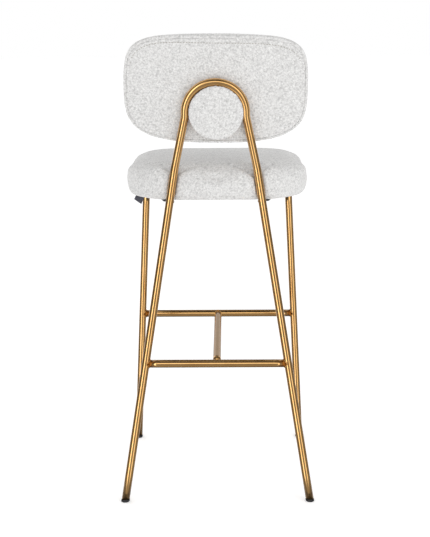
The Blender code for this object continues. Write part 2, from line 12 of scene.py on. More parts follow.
import bmesh
import bpy
import numpy as np
from mathutils import Matrix, Vector


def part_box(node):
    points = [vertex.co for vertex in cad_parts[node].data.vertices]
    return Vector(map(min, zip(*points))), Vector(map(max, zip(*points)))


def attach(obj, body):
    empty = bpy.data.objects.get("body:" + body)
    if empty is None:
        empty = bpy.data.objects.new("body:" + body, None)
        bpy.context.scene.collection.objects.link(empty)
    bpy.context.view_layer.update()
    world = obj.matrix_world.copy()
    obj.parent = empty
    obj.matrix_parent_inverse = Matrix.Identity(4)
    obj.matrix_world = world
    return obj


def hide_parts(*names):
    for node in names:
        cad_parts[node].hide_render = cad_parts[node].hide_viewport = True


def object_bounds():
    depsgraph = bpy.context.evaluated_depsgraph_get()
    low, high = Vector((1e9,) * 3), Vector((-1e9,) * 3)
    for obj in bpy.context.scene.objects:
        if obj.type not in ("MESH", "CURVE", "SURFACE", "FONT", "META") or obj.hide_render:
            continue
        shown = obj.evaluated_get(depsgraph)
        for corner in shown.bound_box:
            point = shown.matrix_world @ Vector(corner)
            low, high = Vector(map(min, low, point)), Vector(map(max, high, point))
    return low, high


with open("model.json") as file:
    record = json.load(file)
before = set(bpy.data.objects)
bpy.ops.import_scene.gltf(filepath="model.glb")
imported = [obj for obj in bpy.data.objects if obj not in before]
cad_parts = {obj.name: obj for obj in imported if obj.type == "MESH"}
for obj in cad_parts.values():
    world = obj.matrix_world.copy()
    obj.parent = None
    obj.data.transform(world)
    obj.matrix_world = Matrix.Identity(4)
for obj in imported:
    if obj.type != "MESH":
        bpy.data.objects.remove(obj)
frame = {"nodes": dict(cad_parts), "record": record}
FRAME_LOW, FRAME_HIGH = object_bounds()
NODES = frame["nodes"]
SCENE = bpy.context.scene
print("frame from", [round(v, 4) for v in FRAME_LOW], "to", [round(v, 4) for v in FRAME_HIGH])

# %% [markdown]
# ## Where the camera stands
#
# The stool is looked at from behind, at about the height of its top, with a long lens. The camera is tipped
# down a little and its sensor is shifted down too, as is done for a catalogue, so that the legs stay nearly
# parallel on the sheet. It leans by a fraction of a degree, as a tripod that is set by hand does.

# %% Camera
CAMERA_PLACE = (-0.0280, 3.0507, 1.1306)
CAMERA_TURN = math.radians(0.572)
CAMERA_TIP = math.radians(8.379)
CAMERA_ROLL = math.radians(-0.370)
CAMERA_LENS_MM = 81.996
CAMERA_SHIFT = (-0.0014, -0.1183)


def add_camera():
    """A camera that looks along -Y, turned towards +X by CAMERA_TURN and tipped down by CAMERA_TIP."""
    data = bpy.data.cameras.new("camera")
    data.lens = CAMERA_LENS_MM
    data.sensor_width = 36.0
    data.shift_x, data.shift_y = CAMERA_SHIFT
    data.clip_end = 200.0
    camera = bpy.data.objects.new("camera", data)
    SCENE.collection.objects.link(camera)
    turned = Matrix.Rotation(math.pi + CAMERA_TURN, 4, "Z")
    tipped = turned @ Matrix.Rotation(math.pi / 2 - CAMERA_TIP, 4, "X")
    rolled = tipped @ Matrix.Rotation(CAMERA_ROLL, 4, "Z")
    camera.matrix_world = Matrix.Translation(CAMERA_PLACE) @ rolled
    SCENE.camera = camera
    return camera


camera = add_camera()
print("camera looks along", [round(v, 3) for v in camera.matrix_world.to_3x3() @ Vector((0, 0, -1))])

# %% [markdown]
# ## A pale floor and soft light
#
# A studio set in white needs two things that pull against each other: even light for the cloth, and dark
# gaps for the metal, because polished tube only looks like metal when it mirrors both bright and dark. The
# world shader gives each kind of ray its own surroundings: the eye sees plain white, the cloth is lit evenly
# with a little more from the side of the camera, and the metal mirrors upright strips of light.


# %% Small helpers for shader nodes
def node(tree, kind, place=(0, 0), **settings):
    """Adds a shader node and sets its properties."""
    made = tree.nodes.new(kind)
    made.location = place
    for key, value in settings.items():
        setattr(made, key, value)
    return made


def math_node(tree, operation, first, second=None, clamp=False):
    """A Math node whose inputs are sockets or plain numbers, and whose output is returned."""
    made = node(tree, "ShaderNodeMath", operation=operation, use_clamp=clamp)
    for slot_number, value in enumerate((first, second)):
        if value is None:
            continue
        if isinstance(value, (int, float)):
            made.inputs[slot_number].default_value = value
        else:
            tree.links.new(value, made.inputs[slot_number])
    return made.outputs[0]


def mix_shaders(tree, factor, first, second):
    """A Mix Shader node that shows second as far as factor is 1, and its output is returned."""
    made = node(tree, "ShaderNodeMixShader")
    for slot_number, value in enumerate((factor, first, second)):
        tree.links.new(value, made.inputs[slot_number])
    return made.outputs[0]


# %% World: white to look at, even for cloth, strips for metal
CLOTH_LIGHT = 0.80
CLOTH_LIGHT_CAMERA_SIDE = 0.34
CLOTH_DIMMER_ABOVE = 0.06
MIRROR_DARK = 0.12
MIRROR_BELOW = 0.24
MIRROR_MIDDLE_WIDTH = 40.0      # degrees round +Y that the level row of light covers
MIRROR_BELOW_WIDTH = 90.0
STRIP_LEVEL = (-3.0, 38.0)      # degrees of elevation and half width of every upright strip
FLOOR_LIGHT_SLOPE = -6.0        # how fast the light from the floor comes in below the horizon
MIRROR_STRIPS = (               # (degrees from +Y towards +X, half width, strength)
    (34.0, 9.0, 3.40),
    (-35.0, 10.0, 1.85),
    (-80.0, 14.0, 0.12),
    (146.0, 11.0, 1.30),        # these two light the stool's front
    (-146.0, 11.0, 0.90),
)
MIRROR_ROW = (19.0, 11.0, 1.90)  # (degrees of elevation, half width, strength)
MIRROR_BEHIND = 0.40
MIRROR_BEHIND_POWER = 6.0


def soft_strip(tree, angle, centre, half_width, strength):
    """strength times exp(-((angle - centre) / half_width) squared), with the sizes in degrees."""
    away = math_node(tree, "SUBTRACT", angle, math.radians(centre))
    scaled = math_node(tree, "DIVIDE", away, math.radians(half_width))
    squared = math_node(tree, "MULTIPLY", scaled, scaled)
    fall = math_node(tree, "EXPONENT", math_node(tree, "MULTIPLY", squared, -1.0))
    return math_node(tree, "MULTIPLY", fall, strength)


def mirrored_light(tree, split):
    """What metal sees: upright strips that fade away from the horizon, a level row of light, a little
    light from the floor, and the pale backdrop on the far side."""
    azimuth = math_node(tree, "ARCTAN2", split.outputs["X"], split.outputs["Y"])
    elevation = math_node(tree, "ARCSINE", split.outputs["Z"])
    strips = 0.0
    for strip in MIRROR_STRIPS:
        strips = math_node(tree, "ADD", soft_strip(tree, azimuth, *strip), strips)
    strips = math_node(tree, "MULTIPLY", strips, soft_strip(tree, elevation, *STRIP_LEVEL, 1.0))
    near_middle = soft_strip(tree, azimuth, 0.0, MIRROR_MIDDLE_WIDTH, 1.0)
    row = math_node(tree, "MULTIPLY", soft_strip(tree, elevation, *MIRROR_ROW), near_middle)
    below = math_node(tree, "MULTIPLY", split.outputs["Z"], FLOOR_LIGHT_SLOPE, clamp=True)
    near_camera = soft_strip(tree, azimuth, 0.0, MIRROR_BELOW_WIDTH, MIRROR_BELOW)
    below = math_node(tree, "MULTIPLY", below, near_camera)
    behind = math_node(tree, "MAXIMUM", math_node(tree, "MULTIPLY", split.outputs["Y"], -1.0), 0.0)
    behind = math_node(tree, "POWER", behind, MIRROR_BEHIND_POWER)
    behind = math_node(tree, "MULTIPLY", behind, MIRROR_BEHIND)
    total = MIRROR_DARK
    for part in (strips, row, below, behind):
        total = math_node(tree, "ADD", part, total)
    return total


def cloth_light(tree, split):
    """What cloth sees: an even sky, brighter on the side of the camera and dimmer straight above."""
    camera_side = math_node(tree, "MAXIMUM", split.outputs["Y"], 0.0)
    above = math_node(tree, "MAXIMUM", split.outputs["Z"], 0.0)
    more = math_node(tree, "MULTIPLY", camera_side, CLOTH_LIGHT_CAMERA_SIDE)
    light = math_node(tree, "ADD", more, CLOTH_LIGHT)
    less = math_node(tree, "MULTIPLY", above, CLOTH_DIMMER_ABOVE)
    return math_node(tree, "SUBTRACT", light, less)


def build_world():
    """Mixes three plain backgrounds by the kind of ray: cloth light, mirrored light, and white."""
    world = bpy.data.worlds.new("studio")
    world.use_nodes = True
    tree = world.node_tree
    tree.nodes.clear()
    SCENE.world = world
    split = node(tree, "ShaderNodeSeparateXYZ")
    tree.links.new(node(tree, "ShaderNodeTexCoord").outputs["Generated"], split.inputs[0])
    ray = node(tree, "ShaderNodeLightPath")
    backgrounds = []
    for strength in (cloth_light(tree, split), mirrored_light(tree, split), None):
        background = node(tree, "ShaderNodeBackground")
        background.inputs["Color"].default_value = (1.0, 1.0, 1.0, 1.0)
        if strength is not None:
            tree.links.new(strength, background.inputs["Strength"])
        backgrounds.append(background.outputs[0])
    shown = backgrounds[0]
    for kind, other in (("Is Glossy Ray", backgrounds[1]), ("Is Camera Ray", backgrounds[2])):
        shown = mix_shaders(tree, ray.outputs[kind], shown, other)
    tree.links.new(shown, node(tree, "ShaderNodeOutputWorld").inputs["Surface"])


build_world()
SCENE.view_settings.view_transform = "Standard"
print("metal mirrors", len(MIRROR_STRIPS), "upright strips of light")


# %% Two soft boxes
def add_area_light(name, place, target, size, power):
    """A square soft box at place that faces target."""
    data = bpy.data.lights.new(name, "AREA")
    data.shape = "SQUARE"
    data.size = size
    data.energy = power
    light = bpy.data.objects.new(name, data)
    SCENE.collection.objects.link(light)
    light.location = place
    light.rotation_euler = (Vector(target) - Vector(place)).to_track_quat("-Z", "Y").to_euler()
    light.visible_glossy = False
    return light


STOOL_MIDDLE = (FRAME_LOW + FRAME_HIGH) / 2
add_area_light("key", (-2.2, 2.6, 2.0), STOOL_MIDDLE, size=1.8, power=16.0)
add_area_light("fill", (2.4, -2.2, 2.0), STOOL_MIDDLE, size=2.2, power=12.0)
print("two soft boxes face", [round(v, 3) for v in STOOL_MIDDLE])

# %% Floor
FLOOR_GLOW = 0.30
FLOOR_RADIUS = 40.0
FLOOR_CORNERS = 96
FLOOR_GAP = 0.0002              # below the feet


def floor_material():
    """Matt, nearly white and glowing a little, so that it melts into the backdrop. A glossy ray passes
    through it, so that tube mirrors the strips of light below the horizon too, as over a polished floor."""
    material = bpy.data.materials.new("pale_floor")
    material.use_nodes = True
    tree = material.node_tree
    shader = tree.nodes["Principled BSDF"]
    shader.inputs["Base Color"].default_value = (0.93, 0.93, 0.93, 1.0)
    shader.inputs["Roughness"].default_value = 0.9
    shader.inputs["Specular IOR Level"].default_value = 0.1
    shader.inputs["Emission Color"].default_value = (1.0, 1.0, 1.0, 1.0)
    shader.inputs["Emission Strength"].default_value = FLOOR_GLOW
    is_glossy = node(tree, "ShaderNodeLightPath").outputs["Is Glossy Ray"]
    clear = node(tree, "ShaderNodeBsdfTransparent").outputs[0]
    shown = mix_shaders(tree, is_glossy, shader.outputs[0], clear)
    tree.links.new(shown, tree.nodes["Material Output"].inputs["Surface"])
    return material


def build_floor():
    """A wide flat disc just under the feet."""
    angle = np.linspace(0.0, math.tau, FLOOR_CORNERS, endpoint=False)
    level = np.full(FLOOR_CORNERS, -FLOOR_GAP)
    points = np.stack([FLOOR_RADIUS * np.cos(angle), FLOOR_RADIUS * np.sin(angle), level], 1)
    mesh = bpy.data.meshes.new("floor")
    mesh.from_pydata(points.tolist(), [], [tuple(range(FLOOR_CORNERS))])
    floor = bpy.data.objects.new("floor", mesh)
    SCENE.collection.objects.link(floor)
    mesh.materials.append(floor_material())
    return floor


build_floor()
print("floor and studio light are set")

# %% [markdown]
# ## Surfaces from grids
#
# Every new piece is a grid of points worked out at once with numpy: rows run along the piece, columns run
# round it. One helper turns such a grid into a mesh, joins the last column to the first where the shape is
# round, and stores how far along and how far round each corner is as a UV map, in metres.


# %% Grid to mesh
def grid_faces(rows, columns, wrap_rows, wrap_columns):
    """Quads of a grid, as an array of four vertex numbers each."""
    r = np.arange(rows if wrap_rows else rows - 1)
    c = np.arange(columns if wrap_columns else columns - 1)
    r, c = np.meshgrid(r, c, indexing="ij")
    r2 = (r + 1) % rows
    c2 = (c + 1) % columns
    quads = np.stack([r * columns + c, r * columns + c2, r2 * columns + c2, r2 * columns + c], -1)
    return quads.reshape(-1, 4)


def mesh_from_arrays(name, points, faces, uv=None):
    """A mesh object at the origin from (n, 3) points and (m, 4) or (m, 3) faces."""
    mesh = bpy.data.meshes.new(name)
    corners = faces.shape[1]
    mesh.vertices.add(len(points))
    mesh.vertices.foreach_set("co", np.ascontiguousarray(points, np.float32).ravel())
    mesh.loops.add(faces.size)
    mesh.loops.foreach_set("vertex_index", np.ascontiguousarray(faces, np.int32).ravel())
    mesh.polygons.add(len(faces))
    mesh.polygons.foreach_set("loop_start", np.arange(len(faces), dtype=np.int32) * corners)
    mesh.update(calc_edges=True)
    mesh.validate()
    if uv is not None:
        layer = mesh.uv_layers.new(name="along_and_round")
        layer.data.foreach_set("uv", np.ascontiguousarray(uv, np.float32).ravel())
    mesh.shade_smooth()
    made = bpy.data.objects.new(name, mesh)
    SCENE.collection.objects.link(made)
    return made


def read_vectors(collection, name):
    """A vector property of every item of a mesh's collection, as an (n, 3) array."""
    values = np.empty(len(collection) * 3, np.float32)
    collection.foreach_get(name, values)
    return values.reshape(-1, 3).astype(float)


def mesh_points(piece):
    """Where the piece's points are."""
    return read_vectors(piece.data.vertices, "co")


def mesh_normals(piece):
    """Which way the surface faces at each point."""
    return read_vectors(piece.data.vertex_normals, "vector")


def set_points(piece, points):
    """Moves the piece's points to these places."""
    piece.data.vertices.foreach_set("co", np.ascontiguousarray(points, np.float32).ravel())
    piece.data.update()


# %% Small helpers for formulas
def unit(v):
    """Each vector divided by its own length."""
    return v / np.linalg.norm(v, axis=-1, keepdims=True)


def ramp(distance, width):
    """0 where distance is negative, rising straight to 1 over this width, and 1 beyond it."""
    return np.clip(distance / width, 0.0, 1.0)


def bell(distance, width):
    """1 where distance is 0, falling on both sides as exp(-(distance / width) squared)."""
    return np.exp(-(distance / width) ** 2)


def distance_along(line):
    """How far along a polyline each of its points is."""
    step = np.linalg.norm(np.diff(line, axis=0), axis=1)
    return np.concatenate([[0.0], np.cumsum(step)])


def places_at(line, travelled, at):
    """The points of a polyline at these distances along it."""
    return np.stack([np.interp(at, travelled, line[:, k]) for k in range(3)], 1)


def circle_spokes(along, reference, sides):
    """Unit spokes round each direction in along: cos(angle) times its cross product with a reference
    direction, plus sin(angle) times the direction square to both. Gives (..., sides, 3)."""
    across = unit(np.cross(along, reference))
    other = np.cross(along, across)
    angle = np.linspace(0.0, math.tau, sides, endpoint=False)[:, None]
    return across[..., None, :] * np.cos(angle) + other[..., None, :] * np.sin(angle)


print("a ramp of width 2 at 1 is", float(ramp(np.array(1.0), 2.0)))

# %% [markdown]
# ## Brushed gold
#
# The frame is steel tube with a satin gold plating. Such tube is polished along its length before plating,
# which leaves fine lines that run with the tube and make its highlights long and soft. The lines come from a
# noise that is stretched along the UV map's length, and a second, larger noise makes the plating a little
# uneven, so that no two stretches mirror the light in quite the same way.


# %% Node group: fine lines along a tube
def new_group(name, inputs, outputs):
    """A shader node group with named sockets. inputs are (name, type, default), outputs (name, type)."""
    group = bpy.data.node_groups.new(name, "ShaderNodeTree")
    for socket_name, kind, default in inputs:
        made = group.interface.new_socket(name=socket_name, in_out="INPUT", socket_type=kind)
        if default is not None:
            made.default_value = default
    for socket_name, kind in outputs:
        group.interface.new_socket(name=socket_name, in_out="OUTPUT", socket_type=kind)
    return group, group.nodes.new("NodeGroupInput"), group.nodes.new("NodeGroupOutput")


def noise_at(tree, vector, scale, detail, roughness=0.5):
    """A noise from 0 to 1 at this vector, where scale is how many waves fit in a metre."""
    made = node(tree, "ShaderNodeTexNoise")
    made.inputs["Scale"].default_value = scale
    made.inputs["Detail"].default_value = detail
    made.inputs["Roughness"].default_value = roughness
    tree.links.new(vector, made.inputs["Vector"])
    return made.outputs["Fac"]


def scaled_vector(tree, vector, scale):
    """The vector multiplied by three numbers."""
    mapping = node(tree, "ShaderNodeMapping")
    mapping.inputs["Scale"].default_value = scale
    tree.links.new(vector, mapping.inputs["Vector"])
    return mapping.outputs[0]


def remap(tree, value, low, high, to_low, to_high):
    """Takes the range from low to high to the range from to_low to to_high."""
    made = node(tree, "ShaderNodeMapRange")
    for name, number in (("From Min", low), ("From Max", high), ("To Min", to_low), ("To Max", to_high)):
        made.inputs[name].default_value = number
    tree.links.new(value, made.inputs["Value"])
    return made.outputs[0]


LINE_SCALE = (14.0, 2600.0, 1.0)        # along the tube, round it


def build_polish_group():
    """Lines: a noise stretched along the tube, about 190 times longer than wide. Cloud: a soft noise a few
    centimetres across."""
    group, start, end = new_group(
        "polishing_lines",
        [("Vector", "NodeSocketVector", None), ("Place", "NodeSocketVector", None)],
        [("Lines", "NodeSocketFloat"), ("Cloud", "NodeSocketFloat")],
    )
    stretched = scaled_vector(group, start.outputs["Vector"], LINE_SCALE)
    group.links.new(noise_at(group, stretched, 1.0, 3.0), end.inputs["Lines"])
    group.links.new(noise_at(group, start.outputs["Place"], 28.0, 3.0), end.inputs["Cloud"])
    return group


POLISH = build_polish_group()


# %% Helpers for materials
def principled(name, colour, roughness, metallic=0.0, specular=0.5):
    """A material with its Principled shader, its node tree and its shader node."""
    material = bpy.data.materials.new(name)
    material.use_nodes = True
    tree = material.node_tree
    shader = tree.nodes["Principled BSDF"]
    shader.inputs["Base Color"].default_value = (*colour, 1.0)
    shader.inputs["Roughness"].default_value = roughness
    shader.inputs["Metallic"].default_value = metallic
    shader.inputs["Specular IOR Level"].default_value = specular
    return material, tree, shader


def object_place(tree):
    """The socket with Object coordinates."""
    return node(tree, "ShaderNodeTexCoord").outputs["Object"]


def mix_colour(tree, factor, first, second):
    """The first colour where factor is 0, the second where it is 1."""
    made = node(tree, "ShaderNodeMix", data_type="RGBA")
    made.inputs[6].default_value = (*first, 1.0)
    made.inputs[7].default_value = (*second, 1.0)
    tree.links.new(factor, made.inputs[0])
    return made.outputs[2]


def bump(tree, height, shader, strength, distance):
    """Lets a height from 0 to 1 tilt the shader's normal, as if it were distance metres deep."""
    made = node(tree, "ShaderNodeBump")
    made.inputs["Strength"].default_value = strength
    made.inputs["Distance"].default_value = distance
    tree.links.new(height, made.inputs["Height"])
    tree.links.new(made.outputs[0], shader.inputs["Normal"])
    return made


# %% Gold plating and weld metal
GOLD_LIGHT = (0.80, 0.465, 0.165)
GOLD_DEEP = (0.72, 0.40, 0.13)


def gold_material(name, uses_uv):
    """Satin gold under clear lacquer. On a tube the lines follow its UV map, on a flat piece they follow
    Object coordinates."""
    material, tree, shader = principled(name, GOLD_LIGHT, 0.28, metallic=1.0)
    place = object_place(tree)
    along = place
    if uses_uv:
        along = node(tree, "ShaderNodeUVMap", uv_map="along_and_round").outputs[0]
    polish = node(tree, "ShaderNodeGroup", node_tree=POLISH)
    tree.links.new(along, polish.inputs["Vector"])
    tree.links.new(place, polish.inputs["Place"])
    cloud = remap(tree, polish.outputs["Cloud"], 0.35, 0.65, 0.0, 1.0)
    tree.links.new(mix_colour(tree, cloud, GOLD_LIGHT, GOLD_DEEP), shader.inputs["Base Color"])
    lines = remap(tree, polish.outputs["Lines"], 0.3, 0.7, 0.11, 0.18)
    tree.links.new(lines, shader.inputs["Roughness"])
    shader.inputs["Coat Weight"].default_value = 0.8
    shader.inputs["Coat Roughness"].default_value = 0.08
    bump(tree, polish.outputs["Lines"], shader, 0.06, 0.00005)
    return material


def weld_material():
    """Weld metal under the plating: a little deeper and duller than the tube, because it is not ground."""
    material, tree, shader = principled("gold_weld_bead", (0.70, 0.41, 0.15), 0.3, metallic=0.75)
    place = object_place(tree)
    tint = remap(tree, noise_at(tree, place, 420.0, 3.0), 0.35, 0.65, 0.0, 1.0)
    tree.links.new(mix_colour(tree, tint, (0.62, 0.35, 0.12), (0.78, 0.46, 0.17)), shader.inputs["Base Color"])
    tree.links.new(remap(tree, tint, 0.0, 1.0, 0.34, 0.22), shader.inputs["Roughness"])
    return material


WELD_BEAD = weld_material()
GOLD_TUBE = gold_material("brushed_gold_tube", uses_uv=True)
GOLD_FLAT = gold_material("brushed_gold_flat", uses_uv=False)
print("gold materials:", GOLD_TUBE.name, GOLD_FLAT.name)

# %% [markdown]
# ## The bent hoop
#
# One length of 19 mm tube makes both rear legs and the arch that holds the backrest. It rises from a foot,
# leaning forward and inward, turns at the knee, leans back, and goes round a half circle. Its line is worked
# out here from the same few lengths as the frame's tube, with finer bends, and swept with a circle.

# %% Sizes of the frame's tubes
TUBE_RADIUS = 0.0095
TUBE_WALL = 0.0015
FRONT_GLIDE_LOW, FRONT_GLIDE_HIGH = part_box("glide_front_left")
GLIDE_RADIUS = 0.0101
LEANING_GLIDE_REACH = GLIDE_RADIUS * 1.0035     # a level cut through the leaning glide is a little longer
FOOT_HALF_SPREAD = 0.2216
REAR_FOOT_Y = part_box("glide_rear_left")[1].y - LEANING_GLIDE_REACH
FRONT_FOOT_Y = (FRONT_GLIDE_LOW.y + FRONT_GLIDE_HIGH.y) / 2
TUBE_FOOT_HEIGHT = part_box("rear_hoop")[0].z
FRONT_LEG_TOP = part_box("front_leg_left")[1].z
FRONT_LEG_TOP_HALF_SPREAD = 0.1896
KNEE_HEIGHT = 0.7970
KNEE_HALF_SPREAD = 0.0970
KNEE_FORWARD = 0.0695
KNEE_BEND_RADIUS = 0.0900
RECLINE = math.radians(8.3)
ARCH_RADIUS = 0.0714
ARCH_CENTRE_RISE = 0.1332
ARCH_STRAIGHT = 0.0095
ARCH_BEND_RADIUS = 0.0550
CLEARANCE = 0.0003

LEAN_UP = np.array([0.0, math.sin(RECLINE), math.cos(RECLINE)])
LEAN_FORWARD = np.array([0.0, -math.cos(RECLINE), math.sin(RECLINE)])
KNEE_MIDDLE = np.array([0.0, REAR_FOOT_Y - KNEE_FORWARD, KNEE_HEIGHT])


def leaned(x, rise, outward):
    """Points of the leaning back: rise goes up the lean from the knees, outward goes forward from the
    plane that touches the front of the hoop. Takes arrays of one shape and gives (..., 3)."""
    x, rise, outward = np.broadcast_arrays(x, rise, outward)
    base = KNEE_MIDDLE + LEAN_FORWARD * (TUBE_RADIUS + CLEARANCE)
    sideways = x[..., None] * np.array([1.0, 0.0, 0.0])
    return base + sideways + rise[..., None] * LEAN_UP + outward[..., None] * LEAN_FORWARD


def rounded_corner(before, corner, after, radius, steps):
    """Points of the arc of this radius that rounds a corner."""
    into = unit(corner - before)
    out = unit(after - corner)
    turn = math.acos(float(np.clip(into @ out, -1, 1)))
    start = corner - into * radius * math.tan(turn / 2)
    centre = corner + unit(out - into) * radius / math.cos(turn / 2)
    angle = np.linspace(0.0, turn, steps)[:, None]
    return centre + (start - centre) * np.cos(angle) + into * radius * np.sin(angle)


def hoop_line():
    """The hoop's centreline from the left foot to the right foot."""
    foot = np.array([FOOT_HALF_SPREAD, REAR_FOOT_Y, 0.0])
    knee = KNEE_MIDDLE + np.array([KNEE_HALF_SPREAD, 0.0, 0.0])
    foot = foot + (knee - foot) * (TUBE_FOOT_HEIGHT / KNEE_HEIGHT)
    depth = -TUBE_RADIUS - CLEARANCE
    bend = leaned(ARCH_RADIUS, ARCH_CENTRE_RISE - ARCH_STRAIGHT, depth)
    spring = leaned(ARCH_RADIUS, ARCH_CENTRE_RISE, depth)
    share = np.linspace(0.0, 1.0, 14)[:, None]
    knee_arc = rounded_corner(foot, knee, bend, KNEE_BEND_RADIUS, 9)
    bend_arc = rounded_corner(knee, bend, spring, ARCH_BEND_RADIUS, 7)
    leg = foot + (knee_arc[0] - foot) * share[:-1]
    back = knee_arc[-1] + (bend_arc[0] - knee_arc[-1]) * share[3:-1]
    angle = np.linspace(0.0, math.pi, 61)[1:-1]
    arch = leaned(ARCH_RADIUS * np.cos(angle), ARCH_CENTRE_RISE + ARCH_RADIUS * np.sin(angle), depth)
    left = np.concatenate([leg, knee_arc, back, bend_arc, spring[None]])
    return np.concatenate([left, arch, (left * np.array([-1.0, 1.0, 1.0]))[::-1]])


# %% Tubes with level ends
def sweep(line, radius, sides, reference):
    """Circles of this radius round a line. Gives (points on the line, sides, 3)."""
    along = unit(np.gradient(line, axis=0))
    return line[:, None] + circle_spokes(along, reference, sides) * radius


def level_end(ring, centre, along):
    """Slides each point of an end ring along the tube until the ring lies flat at its centre's height."""
    return ring - along * ((ring[:, 2:] - centre[2]) / along[2])


def tube_uv(line, sides, rows):
    """Metres along the line and round the tube for every corner of every quad."""
    length = distance_along(line)
    length = np.concatenate([length, length[::-1]])[:rows]
    around = np.arange(sides) / sides * math.tau * TUBE_RADIUS
    r, c = np.meshgrid(np.arange(rows), np.arange(sides), indexing="ij")
    r2 = (r + 1) % rows
    near = around[c]
    far = near + math.tau * TUBE_RADIUS / sides
    corners = np.stack([
        np.stack([length[r], near], -1), np.stack([length[r], far], -1),
        np.stack([length[r2], far], -1), np.stack([length[r2], near], -1),
    ], -2)
    return corners.reshape(-1, 2)


def hollow_tube(name, line, outer_rings, inner_rings, sides):
    """A tube with a wall: the outer rings forwards, then the inner rings backwards, closed in a loop."""
    rings = np.concatenate([outer_rings, inner_rings[::-1]])
    rows = len(rings)
    faces = grid_faces(rows, sides, True, True)[:, ::-1]
    uv = tube_uv(line, sides, rows).reshape(-1, 4, 2)[:, ::-1].reshape(-1, 2)
    return mesh_from_arrays(name, rings.reshape(-1, 3), faces, uv)


TUBE_SIDES = 32


def level_tube(name, line, reference):
    """A hollow tube whose two ends are cut level."""
    along = unit(np.gradient(line, axis=0))
    made = []
    for radius in (TUBE_RADIUS, TUBE_RADIUS - TUBE_WALL):
        rings = sweep(line, radius, TUBE_SIDES, reference)
        rings[0] = level_end(rings[0], line[0], along[0])
        rings[-1] = level_end(rings[-1], line[-1], along[-1])
        made.append(rings)
    return hollow_tube(name, line, made[0], made[1], TUBE_SIDES)


# %% Finish a piece
def outward(piece):
    """Turns a closed piece's faces outwards if the volume they enclose comes out negative."""
    mesh = piece.data
    mesh.calc_loop_triangles()
    corner = np.empty(len(mesh.loop_triangles) * 3, np.int32)
    mesh.loop_triangles.foreach_get("vertices", corner)
    a, b, c = read_vectors(mesh.vertices, "co")[corner.reshape(-1, 3)].transpose(1, 0, 2)
    if np.einsum("ij,ij->i", a, np.cross(b, c)).sum() < 0:
        mesh.flip_normals()
    return piece


def finish_piece(piece, material, slot_name, *replaced):
    """Gives a piece its material, its body and the frame nodes that it stands for; slot_name is not used."""
    piece.data.materials.clear()
    piece.data.materials.append(material)
    outward(piece)
    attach(piece, "root")
    if replaced:
        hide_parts(*replaced)
    return piece


# %% Make the hoop and the front legs
HOOP_LINE = hoop_line()
hoop = level_tube("hoop_tube", HOOP_LINE, np.array([0.0, 1.0, 0.0]))
finish_piece(hoop, GOLD_TUBE, "gold_steel", "rear_hoop")
frame_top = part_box("rear_hoop")[1].z
print("hoop top", round(float(HOOP_LINE[:, 2].max() + TUBE_RADIUS), 4), "frame's hoop top", round(frame_top, 4))


def front_leg_ends(side):
    """The foot and the top of a front leg's centreline. side is 1 for left and -1 for right."""
    foot = np.array([side * FOOT_HALF_SPREAD, FRONT_FOOT_Y, 0.0])
    top = np.array([side * FRONT_LEG_TOP_HALF_SPREAD, FRONT_FOOT_Y, FRONT_LEG_TOP])
    return foot, top


def rear_leg_ends(side):
    """The foot and the knee of one of the hoop's legs."""
    foot = np.array([side * FOOT_HALF_SPREAD, REAR_FOOT_Y, 0.0])
    return foot, KNEE_MIDDLE + np.array([side * KNEE_HALF_SPREAD, 0.0, 0.0])


def at_height(ends, height):
    """The point at this height on the straight line between two ends."""
    return ends[0] + (ends[1] - ends[0]) * (height - ends[0][2]) / (ends[1][2] - ends[0][2])


for side, word in ((1, "left"), (-1, "right")):
    ends = front_leg_ends(side)
    low_point = at_height(ends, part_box("front_leg_" + word)[0].z)
    line = low_point + (ends[1] - low_point) * np.linspace(0.0, 1.0, 12)[:, None]
    leg = level_tube("front_leg_tube_" + word, line, np.array([0.0, 1.0, 0.0]))
    finish_piece(leg, GOLD_TUBE, "gold_steel", "front_leg_" + word)

# %% [markdown]
# ## The footrest and its welds
#
# A tube that meets another tube is cut to its curve, a cope, and welded all round. The cut is where a line
# along the bar's skin meets the other tube: a quadratic in the distance along the bar. The weld is a bead of
# metal that lies on that same curve, with the faint ripples that a welder's steps leave.


# %% Coped bars and weld beads
WELD_RADIUS = 0.0013
WELD_RIPPLE = 0.06
WELD_STEPS = 22.0
WELD_SIDES = 8
WELD_POINTS = 132


def meet_distance(start, along, spokes, post):
    """How far along each skin line of a bar it first meets a post: the smaller root of the quadratic in
    the distance between the skin line and the post's axis. The post is given by two points."""
    post_way = unit(post[1] - post[0])
    rel = start + spokes - post[0]
    rel = rel - (rel @ post_way)[:, None] * post_way
    way = along - (along @ post_way) * post_way
    a = way @ way
    b = 2 * rel @ way
    c = np.einsum("ij,ij->i", rel, rel) - (TUBE_RADIUS + CLEARANCE) ** 2
    root = np.sqrt(np.maximum(b * b - 4 * a * c, 0.0))
    return (-b - root) / (2 * a)


def bar_between(start, end, first_post, last_post, radius, reference, stations=14):
    """Rings of a bar from one post to the other, each skin line stopped where it meets the post."""
    along = unit(end - start)
    length = np.linalg.norm(end - start)
    spokes = circle_spokes(along, reference, TUBE_SIDES) * radius
    middle = (start + end) / 2
    to_last = meet_distance(middle, along, spokes, last_post)
    to_first = meet_distance(middle, -along, spokes, first_post)
    share = np.linspace(0.0, 1.0, stations)[:, None]
    reach = -to_first + (to_first + to_last) * share
    rings = middle + spokes + reach[..., None] * along
    line = start + along * length * share
    return rings, line


